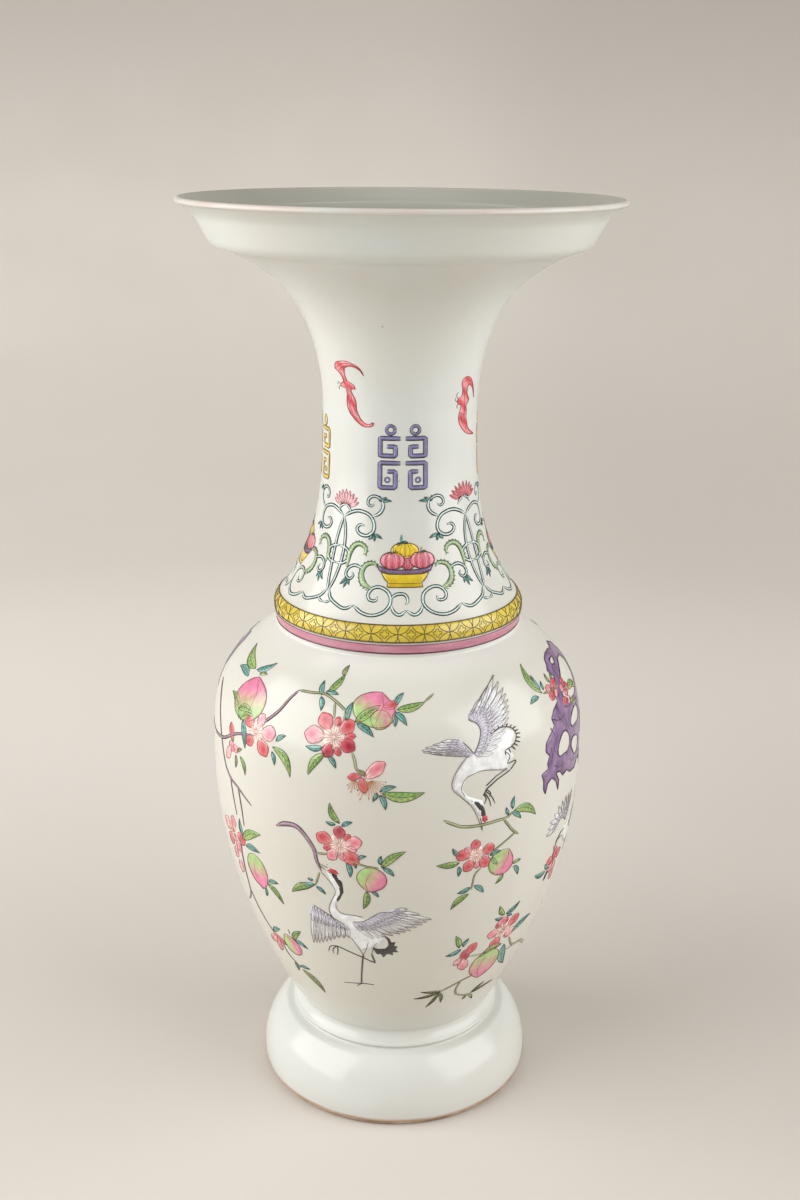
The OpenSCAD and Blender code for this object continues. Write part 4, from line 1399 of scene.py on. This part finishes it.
def blade(p, base, tip, tone, rise):
    """Narrow pointed petal, dark along its middle."""
    spot, length = p.towards(base, tip)
    rim, deep = PETAL[tone]
    t = np.linspace(0, 1, 9)
    half = 1.35 * np.sin(math.pi * t ** 0.75) ** 0.8
    upper, lower = np.stack([t * length, half], 1), np.stack([t * length, -half], 1)
    outline = np.vstack([upper, lower[-2:0:-1]])
    p.film("pink", spot, outline, lambda xy: mixed(deep, rim, np.abs(xy[:, 1]) * 1.1 + 0.5 - xy[:, 0] / length),
           lift=FILM_LIFT + rise, pitch=1.1)
    p.line("pink", spot, np.vstack([outline, outline[:1]]), 0.24, ROSE_LINE, taper=0.9)
    p.line("pink", spot, [(length * 0.2, 0), (length * 0.8, 0)], 0.22, ROSE_LINE)


def lotus(p, z, spread, tone):
    """Many-petalled flower that opens upwards on top of a column."""
    for way in (-1, 1):
        tendril(p, [(0, z + 4.4), (way * spread * 0.34, z + 3), (way * spread * 0.52, z)], 0.8)
    for i in (0, 8, 1, 7, 2, 6, 3, 5, 4):
        turn = math.radians(-74 + 18.5 * i)
        root = (math.sin(turn) * spread * 0.4, z + 3.2 + math.cos(turn) * 1.6)
        tip = (math.sin(turn) * spread * 1.12, z + 4.2 + math.cos(turn) * 9.8)
        blade(p, root, tip, tone, 0.012 * i)


def ribbed(p, centre, width, height, family, light, dark, ribs=5, rise=0.0):
    """Ribbed fruit lying in the basket."""
    spot = p.spot(*centre)
    a = np.linspace(0, 2 * math.pi, 30, endpoint=False)
    dent = 1 - 0.1 * np.exp(-((a - math.pi / 2) / 0.3) ** 2)
    outline = np.stack([width / 2 * np.cos(a), height / 2 * np.sin(a) * dent], 1)

    def shade(xy):
        side = np.abs(np.sin(xy[:, 0] / width * math.pi * (ribs - 1)))
        return mixed(dark, light, side * 0.8 + 0.5 * xy[:, 1] / height)

    p.film(family, spot, outline, shade, pitch=1.3, lift=FILM_LIFT + 0.05 + rise)
    p.line("black", spot, np.vstack([outline, outline[:1]])[::2], 0.44, linear(84, 46, 44),
           lift=LINE_LIFT + rise, taper=0.9)
    for i in range(1, ribs):
        x = width * (i / ribs - 0.5)
        p.line("black", spot, [(x * 0.5, height * 0.42), (x * 1.05, 0), (x * 0.7, -height * 0.42)], 0.34,
               linear(112, 58, 46), lift=LINE_LIFT + rise)


def basket(p):
    """Bowl of fruit between two scrolls."""
    ribbed(p, (1.6, 385), 9, 9, "pink", linear(232, 150, 162), linear(190, 44, 74))
    ribbed(p, (-7.6, 386), 15.4, 10.8, "pink", linear(240, 172, 180), linear(196, 44, 76), rise=0.12)
    ribbed(p, (10.6, 386.4), 15.8, 10.8, "pink", linear(240, 172, 180), linear(196, 44, 76), rise=0.12)
    ribbed(p, (0, 392), 17.5, 10, "yellow", linear(242, 216, 74), linear(216, 176, 30), 6)
    for theta, z in [(-7.6, 390.4), (10.2, 390.4)]:
        twig(p, [(theta, z), (theta + 0.4, z + 3.6)], 0.9, STEM, "green")
        leaf(p, (theta, z), (theta + 3.4, z + 1), "green", width=1.6, rise=0.1)
        leaf(p, (theta, z), (theta - 3.4, z + 0.6), "green", width=1.6, rise=0.1)
    twig(p, [(-2.4, 396.4), (-2.2, 401.4)], 1.3, LEAF["teal"][1:], "teal")
    leaf(p, (-2.2, 396.8), (2.4, 396.2), "teal", width=1.8, rise=0.1)
    leaf(p, (-2.2, 396.8), (-5.8, 395.6), "teal", width=1.8, rise=0.1)
    spot = p.spot(0, 378)
    bowl = spot.flat([(-14, 379), (-12, 375.6), (-9.6, 373), (-10.4, 370.8), (9.6, 370.8), (9, 373), (11.6, 375.6),
                      (14, 379)])
    p.film("yellow", spot, bowl, lambda xy: mixed(linear(226, 198, 56), linear(196, 164, 36), -xy[:, 1] / 8),
           pitch=1.6)
    p.line("black", spot, np.vstack([bowl, bowl[:1]]), 0.5, linear(104, 82, 40), taper=0.9, smooth=False)
    p.line("black", spot, spot.flat([(-9.6, 373), (9, 373)]), 0.35, linear(104, 82, 40), smooth=False)
    rim = spot.flat([(-17.4, 383.4), (-12, 381.4), (-6, 380.8), (6, 380.8), (12, 381.6), (17.6, 384), (15, 379.8),
                     (10, 378.2), (-10, 378.2), (-14.6, 379.6)])
    p.film("purple", spot, rim, flat_colour(linear(132, 106, 138)), pitch=1.5, lift=FILM_LIFT + 0.22)
    p.line("black", spot, np.vstack([rim, rim[:1]]), 0.45, INK, lift=LINE_LIFT + 0.17, taper=0.9, smooth=False)
    for i in range(19):
        theta = -13.5 + 27 * i / 18
        p.line("black", spot, spot.flat([(theta, 378.6), (theta, 380.8)]), 0.3, linear(76, 58, 84),
               lift=LINE_LIFT + 0.17)
    tendril(p, [(-8, 364.4), (-5, 367), (-0.6, 367), (1, 363.6), (-0.4, 361.6)], [0.8, 0.9, 0.9, 0.7, 0.5])


# ---------------------------------------------------------------- upper part of the neck

def fret_emblem(p, fill, edge, family):
    """Pair of mirrored key frets with rings and dots. It stands for no letter or word."""
    for way in (-1, 1):
        for path in ([(1.6, 12.4), (14, 12.4), (14, 1.6), (4.6, 1.6), (4.6, 7.4), (9.6, 7.4)],
                     [(1.6, -2.8), (14, -2.8), (14, -18), (4.6, -18), (4.6, -8), (9.4, -8)]):
            spot = p.spot(0, 448)
            line = [(way * x, y) for x, y in path]
            p.line("black", spot, line, 3.1, edge, lift=0.22, taper=0.85, smooth=False)
            p.line(family, spot, line, 1.9, fill, lift=LINE_LIFT + 0.1, taper=0.8, smooth=False)
        for centre, radius in [((way * 7.6, 17.6), 2.6), ((way * 9.4, -13.2), 1.5)]:
            ring = arc(centre, radius, 0, 360, 24)
            p.line("black", spot, ring, 2.2 * radius / 2.6, edge, lift=0.2, taper=1, smooth=False)
            p.line(family, spot, ring, 1.1 * radius / 2.6, fill, lift=LINE_LIFT + 0.08, taper=1, smooth=False)


def bat(p, outline, ribs, whiskers):
    """Red bat seen from its side. ribs are the fingers of its wings."""
    spot = p.spot(*outline[0])
    skin = spline(spot.flat(outline + outline[:1]), 3)[:-1]

    def shade(xy):
        wave = np.sin(xy[:, 1] * 0.7 + xy[:, 0] * 0.5)
        return mixed(linear(204, 58, 70), linear(238, 158, 160), 0.45 + 0.4 * wave)

    p.film("pink", spot, skin, shade, pitch=1.3)
    p.line("pink", spot, np.vstack([skin, skin[:1]]), 0.4, linear(158, 48, 58), taper=0.9, smooth=False)
    for rib in ribs:
        p.line("pink", spot, spot.flat(rib), [0.5, 0.4, 0.3][:len(rib)], linear(164, 44, 58))
    for whisker in whiskers:
        p.line("black", spot, spot.flat(whisker), 0.35, linear(120, 60, 60))


def left_bat(p):
    bat(p, [(-50, 500.5), (-49, 503.6), (-45, 505.2), (-39, 506), (-34, 505), (-29.6, 503.4), (-26.8, 501),
            (-25.2, 497.4), (-27.2, 500.2), (-30.4, 502.2), (-34, 503), (-38.4, 502.4), (-40.8, 500.6),
            (-40.6, 496.4), (-39, 493.6), (-34.4, 491.8), (-32.6, 489), (-36, 489), (-36.4, 487.4),
            (-33.6, 483.6), (-32.4, 480), (-32.4, 477), (-30.6, 473.4), (-28.2, 470.4), (-25, 468.6),
            (-22, 468.2), (-18.8, 469.8), (-19.2, 467.6), (-23, 466.6), (-27, 466.8), (-31.4, 468.8),
            (-36.4, 472.4), (-39.8, 476.4), (-40.8, 481), (-40.2, 486), (-41.4, 489.4), (-44, 489.2),
            (-46.4, 490.8), (-44.4, 492), (-42.8, 493), (-43.6, 495.6), (-46, 498.2)],
        [[(-48, 501), (-43, 504), (-36, 504.6)], [(-46, 499.6), (-42, 502), (-37, 503.6)],
         [(-43, 493), (-39.6, 489), (-37, 480)], [(-38.6, 487), (-38.6, 480), (-35, 474)],
         [(-37, 486), (-35.4, 480), (-32, 473)], [(-39, 478), (-36, 473.6), (-30, 469.6)]],
        [[(-46, 491), (-48.4, 492.4), (-49, 490.6)], [(-45.4, 490), (-48, 489.4), (-47.4, 487.6)]])


def right_bat(p):
    bat(p, [(49, 491), (49.6, 493.8), (52, 495.2), (56, 495.2), (60, 493.6), (64, 490), (67, 485.4), (69, 480),
            (65.6, 485.6), (61.6, 488.8), (58, 489.6), (56.6, 487.4), (57, 484.2), (60, 481), (58.8, 478.8),
            (56.4, 477.2), (57.4, 473.4), (56.8, 470), (58.2, 466.6), (59.6, 463), (64, 460.4), (70, 457.6),
            (62, 458.4), (56, 460.4), (51.6, 463.4), (48.4, 467), (47.4, 470.6), (48.8, 474.4), (50.2, 478),
            (47, 478.8), (45.6, 480.8), (47, 482.8), (50, 483), (50.8, 487)],
        [[(51, 492), (55, 493.4), (61, 491.6)], [(52.6, 488), (54, 480), (53.4, 470)],
         [(50.6, 472), (52, 466.6), (58, 461.6)], [(54.6, 476), (54.6, 469), (58, 464)],
         [(50, 470), (54.6, 466), (57, 462.6)], [(49, 474), (53, 471.6), (56.4, 472)]],
        [[(47, 482), (44.6, 484.4), (46, 486.6)], [(46, 480.6), (43.6, 481.4), (44, 483.4)],
         [(47, 479), (45.2, 477.6), (47, 476.4)]])


def neck_scene(p):
    for i, column in enumerate(COLUMNS):
        before = BASKETS[i - 1] - (360 if i == 0 else 0)
        half_bay(p.turned(column, (BASKETS[i] - column) / HALF_BAY))
        half_bay(p.turned(column, (before - column) / HALF_BAY))
        lotus(p.turned(column), *((412.6, 10.5, "pale") if i % 2 == 0 else (416.4, 13.5, "red")))
        basket(p.turned(BASKETS[i]))
    for half in (0, 180):
        left_bat(p.turned(half))
        right_bat(p.turned(half))
        fret_emblem(p.turned(half + 2.5), linear(126, 124, 164), linear(84, 66, 76), "purple")
        fret_emblem(p.turned(half - 79), linear(226, 196, 84), linear(172, 140, 70), "yellow")
    p.fire()


# ---------------------------------------------------------------- collar

COLLAR_INK = linear(92, 74, 44)
ROUNDELS = 31


def hoop(p, z, width, colour):
    """Painted line all the way round."""
    spot = p.spot(0, z)
    p.line("black", spot, spot.flat([(theta, z) for theta in range(-180, 181, 4)]), width, colour,
           taper=1, smooth=False)


def roundels(p, low_z, high_z):
    """Overlapping circles that make four-petalled stars, with a stepped diamond between the stars."""
    middle = (low_z + high_z) / 2
    pitch = 2 * math.pi * p.spot(0, middle).radius / ROUNDELS
    for i in range(ROUNDELS):
        spot = p.spot(-180 + 360 * (i + 0.5) / ROUNDELS, middle)
        half = float(OUTSIDE.s_of(high_z) - OUTSIDE.s_of(low_z)) / 2 - 0.3
        big = pitch / 2
        open_angle = math.degrees(math.asin(min(1, half / big)))
        for side in (0, 180):
            ring = arc((big, 0), big, side - open_angle, side + open_angle, 10)
            p.line("black", spot, ring, 0.38, COLLAR_INK, smooth=False)
        reach_out = math.degrees(math.acos(1 - half / big))
        for up in (-90, 90):
            ring = arc((0, -math.copysign(big, up)), big, up - reach_out, up + reach_out, 12)
            p.line("black", spot, ring, 0.38, COLLAR_INK, smooth=False)
        corner = [(2.7, 0.9), (0.9, 0.9), (0.9, 2.7)]
        diamond = []
        for quarter in range(4):
            c, s = round(math.cos(quarter * math.pi / 2)), round(math.sin(quarter * math.pi / 2))
            diamond += [(big + c * x - s * y, s * x + c * y) for x, y in corner]
        p.line("black", spot, diamond + diamond[:1], 0.32, COLLAR_INK, taper=1, smooth=False)


def collar_scene(p):
    low_z, high_z = low("yellow_enamel_band"), high("yellow_enamel_band")
    roundels(p, low_z, high_z)
    hoop(p, low_z + 0.2, 0.8, COLLAR_INK)
    hoop(p, high_z - 0.3, 0.7, COLLAR_INK)
    hoop(p, low("rose_enamel_band") + 0.1, 0.8, linear(84, 52, 58))
    hoop(p, high("rose_enamel_band") - 0.1, 0.4, linear(120, 84, 92))
    p.fire()


body_scene(Painter("front_scene"))
body_scene(Painter("back_scene", 180.0))
neck_scene(Painter("neck_scene"))
collar_scene(Painter("collar_scene", ground=0.35))


# ---------------------------------------------------------------- studio

def sweep_backdrop():
    """Seamless round sweep: a pale floor that curves up into a wall on every side."""
    floor_end, bend, wall = 1.3, 1.9, 1.2
    line = [(0.0, 0.0), (0.4, 0.0), (0.8, 0.0), (floor_end, 0.0)]
    line += [(floor_end + bend * math.sin(a), bend - bend * math.cos(a))
             for a in np.linspace(0.1, math.pi / 2, 14)]
    line += [(floor_end + bend, bend + wall)]
    angle = np.linspace(0, 2 * math.pi, 128, endpoint=False)
    verts = [(r * math.cos(a), r * math.sin(a), z) for r, z in line[1:] for a in angle]
    verts.append((0, 0, 0))
    count = len(angle)
    faces = [(ring * count + i, ring * count + (i + 1) % count,
              (ring + 1) * count + (i + 1) % count, (ring + 1) * count + i)
             for ring in range(len(line) - 2) for i in range(count)]
    faces += [(len(verts) - 1, (i + 1) % count, i) for i in range(count)]
    mesh = bpy.data.meshes.new("studio_sweep")
    mesh.from_pydata(verts, [], faces)
    mesh.polygons.foreach_set("use_smooth", [True] * len(mesh.polygons))
    obj = bpy.data.objects.new("studio_sweep", mesh)
    bpy.context.scene.collection.objects.link(obj)
    n = Nodes("sweep_paper_and_painted_light")
    x, y, z = n.add("ShaderNodeSeparateXYZ", Vector=n.place()).outputs
    # Painted light and shade on the paper: the far floor and the foot of the wall are lighter, the top of the wall
    # and the right side are darker. The noise below is the paper's own uneven tone.
    paper_and_painted_light = n.mix(n.ramp(y, 0.0, 1.0), linear(207, 200, 190), linear(230, 224, 214))
    paper_and_painted_light = n.mix(n.ramp(z, 0.0, 0.3), paper_and_painted_light, linear(245, 238, 228))
    paper_and_painted_light = n.mix(n.ramp(z, 0.4, 1.0), paper_and_painted_light, linear(221, 214, 205))
    paper_and_painted_light = n.mix(n.ramp(x, -0.05, 0.45, 0.0, 0.17), paper_and_painted_light, linear(140, 134, 127))
    paper_and_painted_light = n.mix(n.ramp(n.noise(3, 2), 0.3, 0.7, 0.0, 0.2), paper_and_painted_light, linear(222, 214, 202))
    # Painted shade: the front of the sweep is darkened, in place of a dark room in front of the vase.
    paper_and_painted_light = n.mix(n.ramp(y, -2.2, -0.7, 0.75, 0.0), paper_and_painted_light, linear(120, 117, 112))
    mesh.materials.append(n.finish(paper_and_painted_light, Roughness=0.9, Specular_IOR_Level=0.15))


def softbox(name, place, aim, size, power, tint=(1, 1, 1)):
    data = bpy.data.lights.new(name, "AREA")
    data.shape = "RECTANGLE"
    data.size, data.size_y = size
    data.energy = power
    data.color = tint
    obj = bpy.data.objects.new(name, data)
    obj.location = place
    obj.rotation_euler = (Vector(aim) - Vector(place)).to_track_quat("-Z", "Y").to_euler()
    obj.visible_camera = False
    bpy.context.scene.collection.objects.link(obj)


SKY = (0.98, 1.0, 1.035)


def lights():
    softbox("softbox_left", (-1.43, -0.46, 0.9), (0, 0, 0.35), (1.8, 1.5), 35, SKY)
    softbox("softbox_right", (1.41, -0.52, 0.9), (0, 0, 0.35), (1.7, 1.5), 28, SKY)
    softbox("softbox_top", (0, -0.9, 2.2), (0, 0, 0.3), (2.4, 2.0), 8)
    softbox("softbox_wall", (-0.2, 0.5, 2.2), (-0.2, 2.6, 0.9), (2.2, 0.6), 17)
    world = bpy.data.worlds.new("studio_fill")
    world.use_nodes = True
    background = world.node_tree.nodes["Background"]
    background.inputs["Color"].default_value = (1.0, 0.995, 0.98, 1)
    background.inputs["Strength"].default_value = 0.11
    bpy.context.scene.world = world


def camera():
    """Stands in front of the vase, above its lip, and looks down at it."""
    distance, height = 0.93554, 0.64269
    pitch, roll = 0.311, 0.009
    data = bpy.data.cameras.new("camera")
    data.lens = 44.55
    data.sensor_width = 36.0
    data.shift_x = 0.00153
    data.clip_start = 0.05
    obj = bpy.data.objects.new("camera", data)
    obj.location = (0, -distance, height)
    level = Matrix.Rotation(math.pi / 2 - pitch, 4, "X")
    obj.rotation_euler = (level @ Matrix.Rotation(roll, 4, "Z")).to_euler()
    bpy.context.scene.collection.objects.link(obj)
    bpy.context.scene.camera = obj
    bpy.context.scene.view_settings.view_transform = "Standard"


sweep_backdrop()
lights()
camera()
